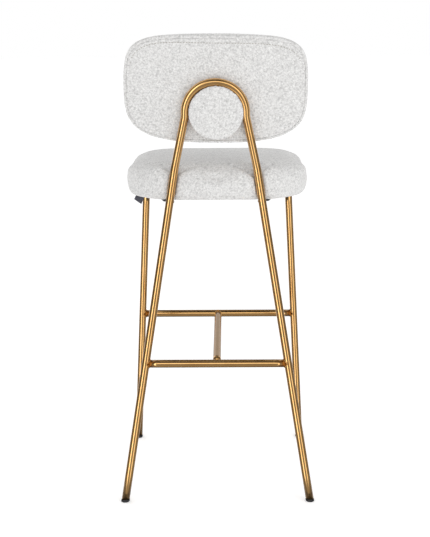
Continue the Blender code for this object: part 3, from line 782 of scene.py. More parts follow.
def weld_bead(name, curve, bead_radius):
    """A closed bead: a small circle carried round a closed curve, its radius rippled by a few percent."""
    count = len(curve)
    along = unit(np.roll(curve, -1, axis=0) - np.roll(curve, 1, axis=0))
    ripple = bead_radius * (1.0 + WELD_RIPPLE * np.sin(np.arange(count) / count * math.tau * WELD_STEPS))
    spokes = circle_spokes(along, curve - curve.mean(axis=0), WELD_SIDES)
    rings = curve[:, None] + spokes * ripple[:, None, None]
    return mesh_from_arrays(name, rings.reshape(-1, 3), grid_faces(count, WELD_SIDES, True, True))


def smooth_closed(curve, count):
    """The closed curve resampled to an even step."""
    loop = np.concatenate([curve, curve[:1]])
    travelled = distance_along(loop)
    return places_at(loop, travelled, np.linspace(0.0, travelled[-1], count, endpoint=False))


def coped_bar(name, node_name, start, end, first_post, last_post, reference):
    """A hollow bar from post to post, with a weld bead on the outer edge of each cope."""
    outer, line = bar_between(start, end, first_post, last_post, TUBE_RADIUS, reference)
    inner, line = bar_between(start, end, first_post, last_post, TUBE_RADIUS - TUBE_WALL, reference)
    bar = hollow_tube(name, line, outer, inner, TUBE_SIDES)
    finish_piece(bar, GOLD_TUBE, "gold_steel", node_name)
    for word, ring in (("start", outer[0]), ("end", outer[-1])):
        bead = weld_bead(f"{name}_weld_{word}", smooth_closed(ring, WELD_POINTS), WELD_RADIUS)
        finish_piece(bead, WELD_BEAD, "gold_steel")
    return bar


REAR_BAR_HEIGHT = sum(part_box("footrest_bar_rear")[k].z for k in (0, 1)) / 2
FRONT_BAR_HEIGHT = sum(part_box("footrest_bar_front")[k].z for k in (0, 1)) / 2
rear_ends = [at_height(rear_leg_ends(side), REAR_BAR_HEIGHT) for side in (1, -1)]
front_ends = [at_height(front_leg_ends(side), FRONT_BAR_HEIGHT) for side in (1, -1)]
UP = np.array([0.0, 0.0, 1.0])
coped_bar("footrest_rear_tube", "footrest_bar_rear", *rear_ends, rear_leg_ends(1), rear_leg_ends(-1), UP)
coped_bar("footrest_front_tube", "footrest_bar_front", *front_ends, front_leg_ends(1), front_leg_ends(-1), UP)
tie_ends = [(rear_ends[0] + rear_ends[1]) / 2, (front_ends[0] + front_ends[1]) / 2]
coped_bar("footrest_tie_tube", "footrest_tie", *tie_ends, rear_ends, front_ends, UP)
print("footrest bars at heights", round(REAR_BAR_HEIGHT, 4), round(FRONT_BAR_HEIGHT, 4))

# %% [markdown]
# ## Feet
#
# Each leg stands on a black plastic glide with a rounded rim and a stem that plugs the tube. It is turned
# on the leg's own axis, but its rings lie level, so that the sole meets the floor flat.

# %% Glides
GLIDE_SIDES = 40
POLE_RADIUS = 1e-5              # a turned shape starts with a ring this small, which is merged later


def grained_black(name, colour, grain_scale, smooth, rough):
    """A black finish with a fine grain: it takes the roughness from smooth to rough, and bumps a little."""
    material, tree, shader = principled(name, colour, 0.5)
    grain = noise_at(tree, object_place(tree), grain_scale, 2.0)
    tree.links.new(remap(tree, grain, 0.3, 0.7, smooth, rough), shader.inputs["Roughness"])
    bump(tree, grain, shader, 0.25, 0.0001)
    return material


BLACK_PLASTIC = grained_black("glide_plastic", (0.018, 0.018, 0.019), 900.0, smooth=0.42, rough=0.62)


def glide(name, ends, node_name):
    """A turned foot: (height, radius) pairs, closed at the sole and at the stem's end."""
    lip = TUBE_FOOT_HEIGHT - CLEARANCE
    stem = TUBE_RADIUS - TUBE_WALL - CLEARANCE
    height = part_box(node_name)[1].z
    profile = np.array([
        (0.0, POLE_RADIUS), (0.0, 0.0070), (0.0002, 0.0086), (0.0008, 0.0096), (0.0016, GLIDE_RADIUS),
        (lip * 0.5, GLIDE_RADIUS), (lip - 0.0008, GLIDE_RADIUS), (lip - 0.0002, GLIDE_RADIUS - 0.0003),
        (lip, GLIDE_RADIUS - 0.0009), (lip, stem), (height * 0.6, stem), (height - 0.001, stem),
        (height, stem - 0.001), (height, POLE_RADIUS),
    ])
    along = unit(ends[1] - ends[0])
    spokes = circle_spokes(along, np.array([0.0, 1.0, 0.0]), GLIDE_SIDES)
    level = spokes - along * (spokes[:, 2:] / along[2])
    centres = ends[0] + (ends[1] - ends[0]) * (profile[:, :1] / ends[1][2])
    rings = centres[:, None] + level[None] * profile[:, 1][:, None, None]
    rings = rings.reshape(-1, 3)
    rings[:, 2] = np.repeat(profile[:, 0], GLIDE_SIDES)
    piece = mesh_from_arrays(name, rings, grid_faces(len(profile), GLIDE_SIDES, False, True))
    close_ends(piece)
    return finish_piece(piece, BLACK_PLASTIC, "black_plastic", node_name)


def close_ends(piece, merge=0.00003):
    """Merges the tiny rings at a turned shape's two ends into single points."""
    work = bmesh.new()
    work.from_mesh(piece.data)
    bmesh.ops.remove_doubles(work, verts=work.verts, dist=merge)
    bmesh.ops.recalc_face_normals(work, faces=work.faces)
    work.to_mesh(piece.data)
    work.free()
    piece.data.set_sharp_from_angle(angle=math.radians(50))
    return piece


for side, word in ((1, "left"), (-1, "right")):
    glide("glide_foot_rear_" + word, rear_leg_ends(side), "glide_rear_" + word)
    glide("glide_foot_front_" + word, front_leg_ends(side), "glide_front_" + word)
print("four glides stand on the floor")

# %% [markdown]
# ## Boucle
#
# Boucle is woven from yarn with small loops, so its face is a crowd of soft nubs a few millimetres across
# with dark gaps between them. The nubs are real geometry here: every cushion has a fine even mesh, and each
# point moves along its normal by a height that depends only on its place. That height is a cell pattern:
# space is cut into small cubes, each holds one random point, and the height falls with the distance to the
# nearest one. Bending the space first with a smooth noise turns round cells into curls.


# %% Heights of the nubs
def cell_random(cell, seed):
    """A repeatable random number from 0 to 1 for each whole-number cell, by mixing its three indices."""
    mixed = cell[..., 0] * 73856093 ^ cell[..., 1] * 19349663 ^ cell[..., 2] * 83492791 ^ seed * 2654435
    mixed = (mixed ^ (mixed >> 13)) * 1274126177 & 0xFFFFFFFF
    mixed = (mixed ^ (mixed >> 16)) * 2246822519 & 0xFFFFFFFF
    return ((mixed >> 8) & 0xFFFFF) / float(0xFFFFF)


def smooth_noise(points, size, seed):
    """Value noise: random numbers at the corners of cubes of this size, blended with a smooth step."""
    scaled = points / size
    cell = np.floor(scaled).astype(np.int64)
    part = scaled - cell
    part = part * part * (3 - 2 * part)
    total = 0.0
    for corner in np.ndindex(2, 2, 2):
        weight = np.prod(np.where(np.array(corner) == 1, part, 1 - part), axis=-1)
        total = total + weight * cell_random(cell + np.array(corner), seed)
    return total


def nub_heights(points, size, seed=5):
    """From 0 in the gaps to 1 on the nubs, and how near each point is to the gap between two nubs."""
    bend = [smooth_noise(points, size * 2.1, seed + k) - 0.5 for k in (11, 12, 13)]
    scaled = (points + np.stack(bend, -1) * size * 1.2) / size
    cell = np.floor(scaled).astype(np.int64)
    nearest = np.full(len(points), 9.0)
    second = np.full(len(points), 9.0)
    for offset in np.ndindex(3, 3, 3):
        near = cell + np.array(offset) - 1
        spot = near + np.stack([cell_random(near, seed + k) for k in (1, 2, 3)], -1)
        away = np.linalg.norm(scaled - spot, axis=-1)
        second = np.minimum(np.maximum(away, nearest), second)
        nearest = np.minimum(away, nearest)
    nub = np.sqrt(np.clip(1.0 - (nearest / 0.95) ** 2, 0.0, 1.0))
    return nub, ramp(second - nearest, 0.35)


NUB_SIZE = 0.0045
NUB_HEIGHT = 0.0015


def raise_nubs(piece, share=None, height=NUB_HEIGHT):
    """Moves each point along its normal by its nub height, and stores its level, which the cloth's colour uses
    for painted shade in the gaps between nubs.
    """
    points = mesh_points(piece)
    nub, gap = nub_heights(points, NUB_SIZE)
    level = 0.65 * nub + 0.35 * gap
    share = 1.0 if share is None else share[:, None]
    moved = points + mesh_normals(piece) * ((level - 0.75) * height)[:, None] * share
    set_points(piece, moved)
    # The level also drives the painted shade in the gaps between nubs, through the yarn material.
    attribute = piece.data.attributes.new("nub_level", "FLOAT", "POINT")
    attribute.data.foreach_set("value", level.astype(np.float32))
    print(piece.name, len(points), "points, mean nub level", round(float(level.mean()), 3))


# %% Node group: yarn
def build_yarn_group():
    """Fuzz: two noises, one for single threads and one for tufts. Shade: painted shade, darker deep in the gaps
    between the nubs and at the edges of the curls. Tint: a slow change between dye lots.
    """
    group, start, end = new_group(
        "yarn_fuzz",
        [("Place", "NodeSocketVector", None), ("Level", "NodeSocketFloat", 0.5)],
        [("Height", "NodeSocketFloat"), ("Shade", "NodeSocketFloat"), ("Tint", "NodeSocketFloat")],
    )
    cells = node(group, "ShaderNodeTexVoronoi", feature="SMOOTH_F1")
    cells.inputs["Scale"].default_value = 270.0
    cells.inputs["Randomness"].default_value = 1.0
    warp = node(group, "ShaderNodeTexNoise")
    warp.inputs["Scale"].default_value = 160.0
    group.links.new(start.outputs["Place"], warp.inputs["Vector"])
    bend = node(group, "ShaderNodeVectorMath", operation="MULTIPLY_ADD")
    bend.inputs[1].default_value = (0.012, 0.012, 0.012)
    group.links.new(warp.outputs["Color"], bend.inputs[0])
    group.links.new(start.outputs["Place"], bend.inputs[2])
    group.links.new(bend.outputs[0], cells.inputs["Vector"])
    threads = noise_at(group, bend.outputs[0], 1400.0, 2.0)
    curls = math_node(group, "SUBTRACT", 1.0, cells.outputs["Distance"])
    height = math_node(group, "ADD", math_node(group, "MULTIPLY", curls, 0.75),
                       math_node(group, "MULTIPLY", threads, 0.25))
    group.links.new(height, end.inputs["Height"])
    # Painted shade: the colour darkens deep in the gaps between nubs and at the curls' edges, where shade falls
    # between the loops.
    depth = remap(group, start.outputs["Level"], 0.25, 0.85, 0.0, 0.45)
    fine = remap(group, curls, 0.35, 0.85, 0.0, 0.55)
    group.links.new(math_node(group, "ADD", depth, fine, clamp=True), end.inputs["Shade"])
    group.links.new(noise_at(group, start.outputs["Place"], 9.0, 2.0), end.inputs["Tint"])
    return group


YARN = build_yarn_group()
YARN_LIGHT = (0.820, 0.815, 0.805)
# The yarn's colour darkened as painted shade, for the gaps between nubs.
YARN_GAP_SHADE = (0.440, 0.435, 0.430)


def boucle_material(name):
    """Yarn with painted shade in the gaps between the nubs, soft at grazing angles, with a fuzzy bump."""
    material, tree, shader = principled(name, YARN_LIGHT, 0.95, specular=0.15)
    place = object_place(tree)
    level = node(tree, "ShaderNodeAttribute", attribute_name="nub_level").outputs["Fac"]
    yarn = node(tree, "ShaderNodeGroup", node_tree=YARN)
    tree.links.new(place, yarn.inputs["Place"])
    tree.links.new(level, yarn.inputs["Level"])
    # The base colour mixes the yarn's own colour with the painted shade of the gaps.
    tree.links.new(mix_colour(tree, yarn.outputs["Shade"], YARN_GAP_SHADE, YARN_LIGHT), shader.inputs["Base Color"])
    tree.links.new(remap(tree, yarn.outputs["Tint"], 0.3, 0.7, 0.88, 0.98), shader.inputs["Roughness"])
    shader.inputs["Sheen Weight"].default_value = 0.25
    shader.inputs["Sheen Roughness"].default_value = 0.6
    bump(tree, yarn.outputs["Height"], shader, 0.7, 0.0009)
    return material


BOUCLE = boucle_material("off_white_boucle")
print("cloth material:", BOUCLE.name)

# %% [markdown]
# ## How a cushion is made
#
# A cushion starts as a plain closed form: stacked outlines, each a rounded rectangle, set in by a profile
# that swells at the side. It is remeshed into small even quads, blown up with a cloth simulation so that the
# cover pulls tight and domed as over foam, then fitted back to the size that the frame gives it.


# %% Outlines and profiles
def rounded_outline(half_x, half_y, rear_power, front_power, count):
    """(count, 2) points of |x/a|^n + |y/b|^n = 1, with its own n for the half above y = 0."""
    angle = np.linspace(0.0, math.tau, count, endpoint=False)
    c, s = np.cos(angle), np.sin(angle)
    power = np.where(s > 0, rear_power, front_power)
    x = half_x * np.sign(c) * np.abs(c) ** (2 / power)
    y = half_y * np.sign(s) * np.abs(s) ** (2 / power)
    return np.stack([x, y], -1)


def side_profile(low_inset, high_inset, high, widest, power, steps):
    """(inset, height) pairs from the underside, round the swelling side, to the top."""
    angle = np.linspace(-math.pi / 2, math.pi / 2, steps)
    c = np.abs(np.cos(angle)) ** (2 / power)
    s = np.abs(np.sin(angle)) ** (2 / power)
    inset = np.where(angle < 0, low_inset, high_inset) * (1 - c)
    middle = high * widest
    height = np.where(angle < 0, middle - middle * s, middle + (high - middle) * s)
    return np.stack([inset, height], -1)


def stacked_form(name, ring, profile, count):
    """Rings from the middle of the underside over the side to the middle of the top, with closed poles."""
    rings = np.stack([ring(inset, height, count) for inset, height in profile])
    points = np.concatenate([rings.reshape(-1, 3), rings[0].mean(0)[None], rings[-1].mean(0)[None]])
    quads = grid_faces(len(profile), count, False, True)
    k = np.arange(count)
    south = np.full(count, len(points) - 2)
    bottom = np.stack([k, (k + 1) % count, south, south], -1)
    last = (len(profile) - 1) * count
    north = np.full(count, len(points) - 1)
    top = np.stack([last + (k + 1) % count, last + k, north, north], -1)
    mesh = bpy.data.meshes.new(name)
    triangles = [tuple(f[:3]) for f in np.concatenate([bottom, top]).tolist()]
    mesh.from_pydata(points.tolist(), [], [tuple(q) for q in quads.tolist()] + triangles)
    made = bpy.data.objects.new(name, mesh)
    SCENE.collection.objects.link(made)
    return outward(made)


# %% Modifiers and the cloth step
def apply_modifiers(piece):
    """Replaces the piece's mesh by what its modifiers make of it."""
    graph = bpy.context.evaluated_depsgraph_get()
    evaluated = bpy.data.meshes.new_from_object(piece.evaluated_get(graph))
    piece.modifiers.clear()
    old = piece.data
    piece.data = evaluated
    evaluated.name = piece.name
    bpy.data.meshes.remove(old)
    return piece


def remesh_even(piece, size):
    """Rebuilds the piece from small even quads of about this size."""
    step = piece.modifiers.new("even", "REMESH")
    step.mode = "VOXEL"
    step.voxel_size = size
    step.use_smooth_shade = True
    return apply_modifiers(piece)


def inflate(piece, pressure, frames, cap, held=None):
    """Blows the cover up with cloth simulation. held is a weight from 0 to 1 that pins points, and no
    point moves further than cap."""
    start = mesh_points(piece)
    if held is not None:
        group = piece.vertex_groups.new(name="held")
        for weight in (0.25, 0.5, 0.75, 1.0):
            group.add(np.flatnonzero(np.abs(held - weight) < 0.126).tolist(), weight, "REPLACE")
    cloth = piece.modifiers.new("cover", "CLOTH")
    settings = cloth.settings
    settings.quality = 5
    settings.mass = 0.3
    settings.tension_stiffness = 18.0
    settings.compression_stiffness = 18.0
    settings.shear_stiffness = 8.0
    settings.bending_stiffness = 0.6
    settings.use_pressure = True
    settings.uniform_pressure_force = pressure
    settings.effector_weights.gravity = 0.0
    if held is not None:
        settings.vertex_group_mass = "held"
    cloth.point_cache.frame_start = 1
    cloth.point_cache.frame_end = frames
    for number in range(1, frames + 1):
        SCENE.frame_set(number)
    graph = bpy.context.evaluated_depsgraph_get()
    evaluated = piece.evaluated_get(graph)
    move = read_vectors(evaluated.data.vertices, "co") - start
    length = np.linalg.norm(move, axis=1, keepdims=True)
    move = move * np.minimum(1.0, cap / np.maximum(length, 1e-9))
    piece.modifiers.remove(cloth)
    SCENE.frame_set(1)
    set_points(piece, start + move)
    print(piece.name, "inflated, mean move", round(float(np.linalg.norm(move, axis=1).mean()) * 1000, 2), "mm")
    return piece


def subdivide_once(piece):
    """Halves every quad and rounds the surface."""
    step = piece.modifiers.new("finer", "SUBSURF")
    step.levels = 1
    step.render_levels = 1
    return apply_modifiers(piece)


def smooth_mesh(piece, repeats):
    """Moves each point half way to the mean of its neighbours, this many times."""
    step = piece.modifiers.new("relax", "SMOOTH")
    step.factor = 0.5
    step.iterations = repeats
    return apply_modifiers(piece)


def distance_to_line(points, line):
    """For each point, the nearest point of a polyline, found over all its straight stretches at once."""
    a, b = line[:-1], line[1:]
    way = b - a
    share = np.einsum("pki,ki->pk", points[:, None] - a[None], way) / np.einsum("ki,ki->k", way, way)
    nearest = a[None] + np.clip(share, 0.0, 1.0)[..., None] * way[None]
    away = np.linalg.norm(points[:, None] - nearest, axis=-1)
    best = away.argmin(axis=1)
    rows = np.arange(len(points))
    return away[rows, best], nearest[rows, best]


# %% [markdown]
# ## The seat
#
# The seat is the softest piece: a thick round-edged pillow over a plywood board, wider at the front. The
# hoop's two legs press into its rear, so the cover is dented round each tube and swells between them. The
# dent is made by pushing every point out of a soft zone round the tube, strongest where it touches.

# %% Seat sizes, from the frame
SEAT_LOW, SEAT_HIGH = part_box("seat_cover")
SEAT_HALF_X = (SEAT_HIGH.x - SEAT_LOW.x) / 2
SEAT_HALF_Y = (SEAT_HIGH.y - SEAT_LOW.y) / 2
SEAT_MIDDLE_Y = (SEAT_HIGH.y + SEAT_LOW.y) / 2
SEAT_HEIGHT = SEAT_HIGH.z - SEAT_LOW.z
SEAT_REAR_POWER = 3.4
SEAT_FRONT_POWER = 5.4


def seat_ring(inset, height, count):
    """One outline of the seat, set in by inset, this far above its underside."""
    flat = rounded_outline(SEAT_HALF_X - inset, SEAT_HALF_Y - inset, SEAT_REAR_POWER, SEAT_FRONT_POWER, count)
    z = np.full(count, SEAT_LOW.z + height)
    return np.stack([flat[:, 0], flat[:, 1] + SEAT_MIDDLE_Y, z], -1)


def seat_profile():
    """(inset, height) from the middle of the underside round the full side to near the middle of the top."""
    side = side_profile(low_inset=0.018, high_inset=0.026, high=SEAT_HEIGHT - 0.007, widest=0.50,
                        power=3.3, steps=17)
    side = side + np.array([0.004, 0.0])
    crown = np.array([(0.076, SEAT_HEIGHT - 0.0030), (0.120, SEAT_HEIGHT - 0.0010), (0.170, SEAT_HEIGHT)])
    under = np.array([(0.170, 0.0), (0.110, 0.0), (0.055, 0.0)])
    return np.concatenate([under, side, crown])


def fit_to_box(piece, low, high):
    """Stretches the piece a little so that its box is exactly the one given."""
    points = mesh_points(piece)
    now_low, now_high = points.min(0), points.max(0)
    scale = (np.array(high) - np.array(low)) / (now_high - now_low)
    set_points(piece, np.array(low) + (points - now_low) * scale)
    print(piece.name, "fitted by", np.round(scale, 3))


# %% Dents, folds and shoulders
PUSH_FORWARD = 0.004            # keeps the push pointing forward even right at a tube's line


def press_tube(piece, line, clear, reach, tuck):
    """Pushes points away from a tube's line: inside clear they go out to it, and out to reach they are
    drawn after it, less and less, so that the dent has soft shoulders."""
    points = mesh_points(piece)
    near_legs = (np.abs(points[:, 0]) < 0.17) & (points[:, 1] > line[:, 1].min() - 0.08)
    close = np.flatnonzero(near_legs)
    away, nearest = distance_to_line(points[close], line)
    out = points[close] - nearest
    out[:, 1] = -np.abs(out[:, 1]) - PUSH_FORWARD
    way = out / np.linalg.norm(out, axis=1, keepdims=True)
    fall = bell(np.maximum(away - clear, 0.0), reach)
    push = np.maximum(clear - away, 0.0) + tuck * fall
    points[close] += way * push[:, None]
    set_points(piece, points)


FOLD_TOP = 0.7985
FOLD_ASIDE = 0.004
FOLD_BOW = 1.6                  # per metre, near the middle
FOLD_STEEP = 170.0              # per metre cubed, near the legs
FOLD_AT_LEGS = 0.7760
FOLD_WING_SLOPE = 0.55
FOLD_WING_TOP = 0.7950
FOLD_SWELL = 0.0056
FOLD_CREASE = 0.0058


def fold_height(x):
    """Height of the fold where the top's cover meets the rear's: an arch between the hoop's legs, flat in
    its middle and lowest at the legs, and short rising wings outside them."""
    off = x - FOLD_ASIDE
    inside = FOLD_TOP - FOLD_BOW * off ** 2 - FOLD_STEEP * off ** 4
    outside = FOLD_AT_LEGS + FOLD_WING_SLOPE * (np.abs(x) - LEG_AT_SEAT)
    return np.where(np.abs(x) < LEG_AT_SEAT, inside, np.minimum(outside, FOLD_WING_TOP))


def shape_rear_fold(piece):
    """Lets the rear swell below the fold and draws it in just above, fading out towards the corners."""
    points = mesh_points(piece)
    x, y, z = points.T
    rear = ramp(y - 0.085, 0.07)
    sides = ramp(0.185 - np.abs(x), 0.05)
    above = z - fold_height(x)
    swell = 1.0 / (1.0 + np.exp(above / 0.0022))
    crease = bell(above - 0.0040, 0.0038)
    foot = np.clip((z - SEAT_LOW.z) / 0.012, 0.25, 1.0)
    amount = rear * sides * (swell * foot * FOLD_SWELL - crease * FOLD_CREASE)
    set_points(piece, points + mesh_normals(piece) * amount[:, None])


SHOULDER_PUSH = 0.0070
DUST_CLOTH_INSET = 0.0465       # of the recess for the dust cloth, from the seat's outline
RECESS_DEPTH = 0.0035


def fill_shoulders(piece):
    """Rounds the sides out just under the top, most at half depth, where the foam is fullest."""
    points = mesh_points(piece)
    x, y, z = points.T
    level = bell(z - (SEAT_HIGH.z - 0.028), 0.018)
    middle = bell(y - SEAT_MIDDLE_Y - 0.02, 0.15)
    side = ramp(np.abs(x) - 0.15, 0.05)
    points[:, 0] += np.sign(x) * SHOULDER_PUSH * level * middle * side
    set_points(piece, points)


def recess_underside(piece):
    """Lifts the underside by RECESS_DEPTH inside an outline of its own, so that the dust cloth closes it."""
    points = mesh_points(piece)
    x, y, z = points.T
    across = (np.abs(x) / (SEAT_HALF_X - DUST_CLOTH_INSET)) ** SEAT_REAR_POWER
    across = across + (np.abs(y - SEAT_MIDDLE_Y) / (SEAT_HALF_Y - DUST_CLOTH_INSET)) ** SEAT_REAR_POWER
    inside = ramp(1.0 - across, 0.06)
    low = ramp(SEAT_LOW.z + 0.008 - z, 0.004)
    points[:, 2] += RECESS_DEPTH * inside * low
    set_points(piece, points)


# %% Make the seat
LEG_LINE = HOOP_LINE[(HOOP_LINE[:, 2] > 0.60) & (HOOP_LINE[:, 2] < 0.90)]
LEG_AT_SEAT = float(np.abs(LEG_LINE[:, 0]).mean())
NUB_ROOM = 0.0014               # between a tube and the cover's own surface, for the nubs
SEAT_QUAD = 0.0046              # size of the cover's quads before they are halved


def press_hoop_legs(piece, reach, tuck):
    """Presses both of the hoop's legs into the piece."""
    for side in (1, -1):
        press_tube(piece, LEG_LINE[LEG_LINE[:, 0] * side > 0], TUBE_RADIUS + NUB_ROOM, reach, tuck)


def build_seat():
    """The seat in order: form, air, smoothing, size, dents, finer quads, fold, nubs and recess."""
    seat = stacked_form("seat_cushion", seat_ring, seat_profile(), 120)
    remesh_even(seat, SEAT_QUAD)
    points = mesh_points(seat)
    underside = ramp(SEAT_LOW.z + 0.012 - points[:, 2], 0.012)
    inflate(seat, pressure=3.2, frames=18, cap=0.010, held=np.round(underside * 4) / 4)
    smooth_mesh(seat, 3)
    low = (SEAT_LOW.x - 0.0025, SEAT_LOW.y, SEAT_LOW.z - 0.0004)
    high = (SEAT_HIGH.x - 0.0005, SEAT_HIGH.y + 0.002, SEAT_HIGH.z - 0.0020)
    fit_to_box(seat, low, high)
    fill_shoulders(seat)
    press_hoop_legs(seat, reach=0.013, tuck=0.0030)
    smooth_mesh(seat, 1)
    subdivide_once(seat)
    shape_rear_fold(seat)
    press_hoop_legs(seat, reach=0.005, tuck=0.0008)
    points = mesh_points(seat)
    raise_nubs(seat, share=ramp(points[:, 2] - SEAT_LOW.z - 0.001, 0.004))
    recess_underside(seat)
    finish_piece(seat, BOUCLE, "boucle", "seat_cover", "seat_foam")
    return seat


seat = build_seat()

# %% [markdown]
# ## The backrest
#
# The back cushion has a domed front and a flat rear that is closed by its own panel. The two covers meet in
# a seam all round the rear, set a little in from the edge, and a row of stitches runs beside it on the panel.
# The seam is where both surfaces dive: each is drawn in towards the joint, which leaves a fine dark line.

# %% Backrest sizes, from the frame
BACK_LOW, BACK_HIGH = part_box("back_cover")
BACK_HALF_WIDTH = (BACK_HIGH.x - BACK_LOW.x) / 2 - 0.0006
BACK_HALF_HEIGHT = 0.1275
BACK_CENTRE_RISE = 0.1841
BACK_THICKNESS = 0.0720
BACK_TOP_SWELL = 0.0022
BACK_TOP_POWER = 4.6
BACK_LOW_POWER = 3.3
BACK_QUAD = 0.0044              # size of the cover's quads before they are halved
BACK_SEAM_INSET = 0.0072
STITCH_INSET = BACK_SEAM_INSET + 0.0074
BACK_ASIDE = -0.0010            # the cushion sits a millimetre off the middle of its hoop
BACK_TURN = math.radians(0.6)   # and a little askew


def back_outline(inset, count):
    """(count, 2) points of the backrest's outline, set in by inset, with squarer corners at the top."""
    half_x, half_y = BACK_HALF_WIDTH - inset, BACK_HALF_HEIGHT - inset
    flat = rounded_outline(half_x, half_y, BACK_TOP_POWER, BACK_LOW_POWER, count)
    return flat + np.array([BACK_ASIDE, 0.0])


def back_ring(inset, height, count):
    """One outline of the back cushion, set in by inset, this far forward of its rear face."""
    flat = back_outline(inset, count)
    return leaned(flat[:, 0], BACK_CENTRE_RISE + flat[:, 1], np.full(count, height))


def back_profile():
    """(inset, height) from the middle of the rear round the side to near the middle of the front."""
    side = side_profile(low_inset=BACK_SEAM_INSET, high_inset=0.038, high=BACK_THICKNESS - 0.009, widest=0.42,
                        power=2.3, steps=15)
    side = side + np.array([0.002, 0.0])
    crown = np.array([(0.066, BACK_THICKNESS - 0.0045), (0.095, BACK_THICKNESS - 0.002)])
    rear = np.array([(0.090, 0.0050), (0.050, 0.0050), (0.020, 0.0040)])
    return np.concatenate([rear, side, crown])


def ring_inset(x, y):
    """How far in from the widest outline the ring through each (x, y) lies: halves the interval in which
    (|x| / (a - i))^n + (|y| / (b - i))^n passes 1, over and over."""
    x = np.abs(x - BACK_ASIDE)
    power = np.where(y > 0, BACK_TOP_POWER, BACK_LOW_POWER)
    low = np.full(x.shape, -0.02)
    high = np.full(x.shape, BACK_HALF_HEIGHT - 0.001)
    for _ in range(24):
        middle = (low + high) / 2
        value = (x / (BACK_HALF_WIDTH - middle)) ** power
        value = value + (np.abs(y) / (BACK_HALF_HEIGHT - middle)) ** power
        low = np.where(value < 1, middle, low)
        high = np.where(value < 1, high, middle)
    return (low + high) / 2


def leaned_coordinates(points):
    """x, rise and outward of each point: the inverse of leaned()."""
    rel = points - (KNEE_MIDDLE + LEAN_FORWARD * (TUBE_RADIUS + CLEARANCE))
    return np.stack([rel[:, 0], rel @ LEAN_UP, rel @ LEAN_FORWARD], -1)


def turn_back(piece):
    """Turns a part of the backrest by BACK_TURN in its own plane about the cushion's middle."""
    local = leaned_coordinates(mesh_points(piece))
    x, rise = local[:, 0], local[:, 1] - BACK_CENTRE_RISE
    cos, sin = math.cos(BACK_TURN), math.sin(BACK_TURN)
    set_points(piece, leaned(x * cos - rise * sin, BACK_CENTRE_RISE + x * sin + rise * cos, local[:, 2]))


def fit_back(piece):
    """Stretches the cushion in its own leaning directions to its true width, height and thickness."""
    local = leaned_coordinates(mesh_points(piece))
    low_rise = BACK_CENTRE_RISE - BACK_HALF_HEIGHT
    high_rise = BACK_CENTRE_RISE + BACK_HALF_HEIGHT + BACK_TOP_SWELL
    goal_low = np.array([BACK_ASIDE - BACK_HALF_WIDTH, low_rise, local[:, 2].min()])
    goal_high = np.array([BACK_ASIDE + BACK_HALF_WIDTH, high_rise, BACK_THICKNESS])
    scale = (goal_high - goal_low) / (local.max(0) - local.min(0))
    local = goal_low + (local - local.min(0)) * scale
    set_points(piece, leaned(local[:, 0], local[:, 1], local[:, 2]))
    print(piece.name, "fitted by", np.round(scale, 3))


def shape_seam_lip(piece):
    """Outside the seam the cover rolls over a rounded lip; inside it the cover drops to the seam's depth,
    where the rear panel takes over."""
    local = leaned_coordinates(mesh_points(piece))
    inset = ring_inset(local[:, 0], local[:, 1] - BACK_CENTRE_RISE)
    rear = local[:, 2] < 0.016
    drop = ramp(inset - BACK_SEAM_INSET + 0.0006, 0.0018)
    roll = ramp(BACK_SEAM_INSET - inset, 0.0085)
    lip = 0.0004 + 0.0062 * (1 - np.sqrt(1 - roll ** 2)) + 0.0040 * drop
    near = rear & (inset > 0.0008)
    local[near, 2] = lip[near]
    set_points(piece, leaned(local[:, 0], local[:, 1], local[:, 2]))


def build_back():
    """The back cushion in order: form, air, smoothing, size, finer quads, seam lip, turn and nubs."""
    back = stacked_form("back_cushion", back_ring, back_profile(), 120)
    remesh_even(back, BACK_QUAD)
    local = leaned_coordinates(mesh_points(back))
    rear = ramp(0.008 - local[:, 2], 0.006)
    inflate(back, pressure=3.0, frames=18, cap=0.010, held=np.round(rear * 4) / 4)
    smooth_mesh(back, 2)
    fit_back(back)
    subdivide_once(back)
    shape_seam_lip(back)
    turn_back(back)
    raise_nubs(back, height=NUB_HEIGHT * 0.95)
    finish_piece(back, BOUCLE, "boucle", "back_cover", "back_foam")
    return back


back = build_back()

# %% [markdown]
# ## The backrest's rear panel
#
# The rear is closed by a flat piece of the same cloth. Its edge is drawn into the seam, and the stitches pull
# a shallow channel into it. Both are heights that depend only on the distance from the seam, so the panel is
# one even grid whose points know that distance.


# %% Rear panel
def panel_outward(inset):
    """How far forward the panel's face lies at this distance in from the seam: it rolls into the seam by a
    falling exponential and has a shallow bell-shaped channel under the stitches."""
    roll = 0.0020 * np.exp(-(inset / 0.0020) ** 1.6)
    channel = 0.0010 * bell(inset - (STITCH_INSET - BACK_SEAM_INSET), 0.0017)
    return 0.0008 + roll + channel


PANEL_COLUMNS = 241
PANEL_ROWS = 145
PANEL_DEPTH = 0.0072            # of its hidden face inside the cushion
PANEL_TO_SEAM = 0.0004


def panel_grid():
    """The panel as an even grid that fills a rounded outline: near the rim each point of a square grid is
    pulled onto the outline of its own size, and towards the middle the grid is left straight."""
    across, up = np.linspace(-1.0, 1.0, PANEL_COLUMNS), np.linspace(-1.0, 1.0, PANEL_ROWS)
    u, v = np.meshgrid(across, up, indexing="xy")
    half_x = BACK_HALF_WIDTH - BACK_SEAM_INSET - PANEL_TO_SEAM
    half_y = BACK_HALF_HEIGHT - BACK_SEAM_INSET - PANEL_TO_SEAM
    square = np.maximum(np.abs(u), np.abs(v))
    power = np.where(v > 0, BACK_TOP_POWER, BACK_LOW_POWER)
    rounded = (np.abs(u) ** power + np.abs(v) ** power) ** (1 / power)
    pull = 1.0 + (square / np.maximum(rounded, 1e-9) - 1.0) * square ** 3
    x, y = u * pull * half_x + BACK_ASIDE, v * pull * half_y
    return x, y, np.maximum(ring_inset(x, y) - BACK_SEAM_INSET, 0.0)


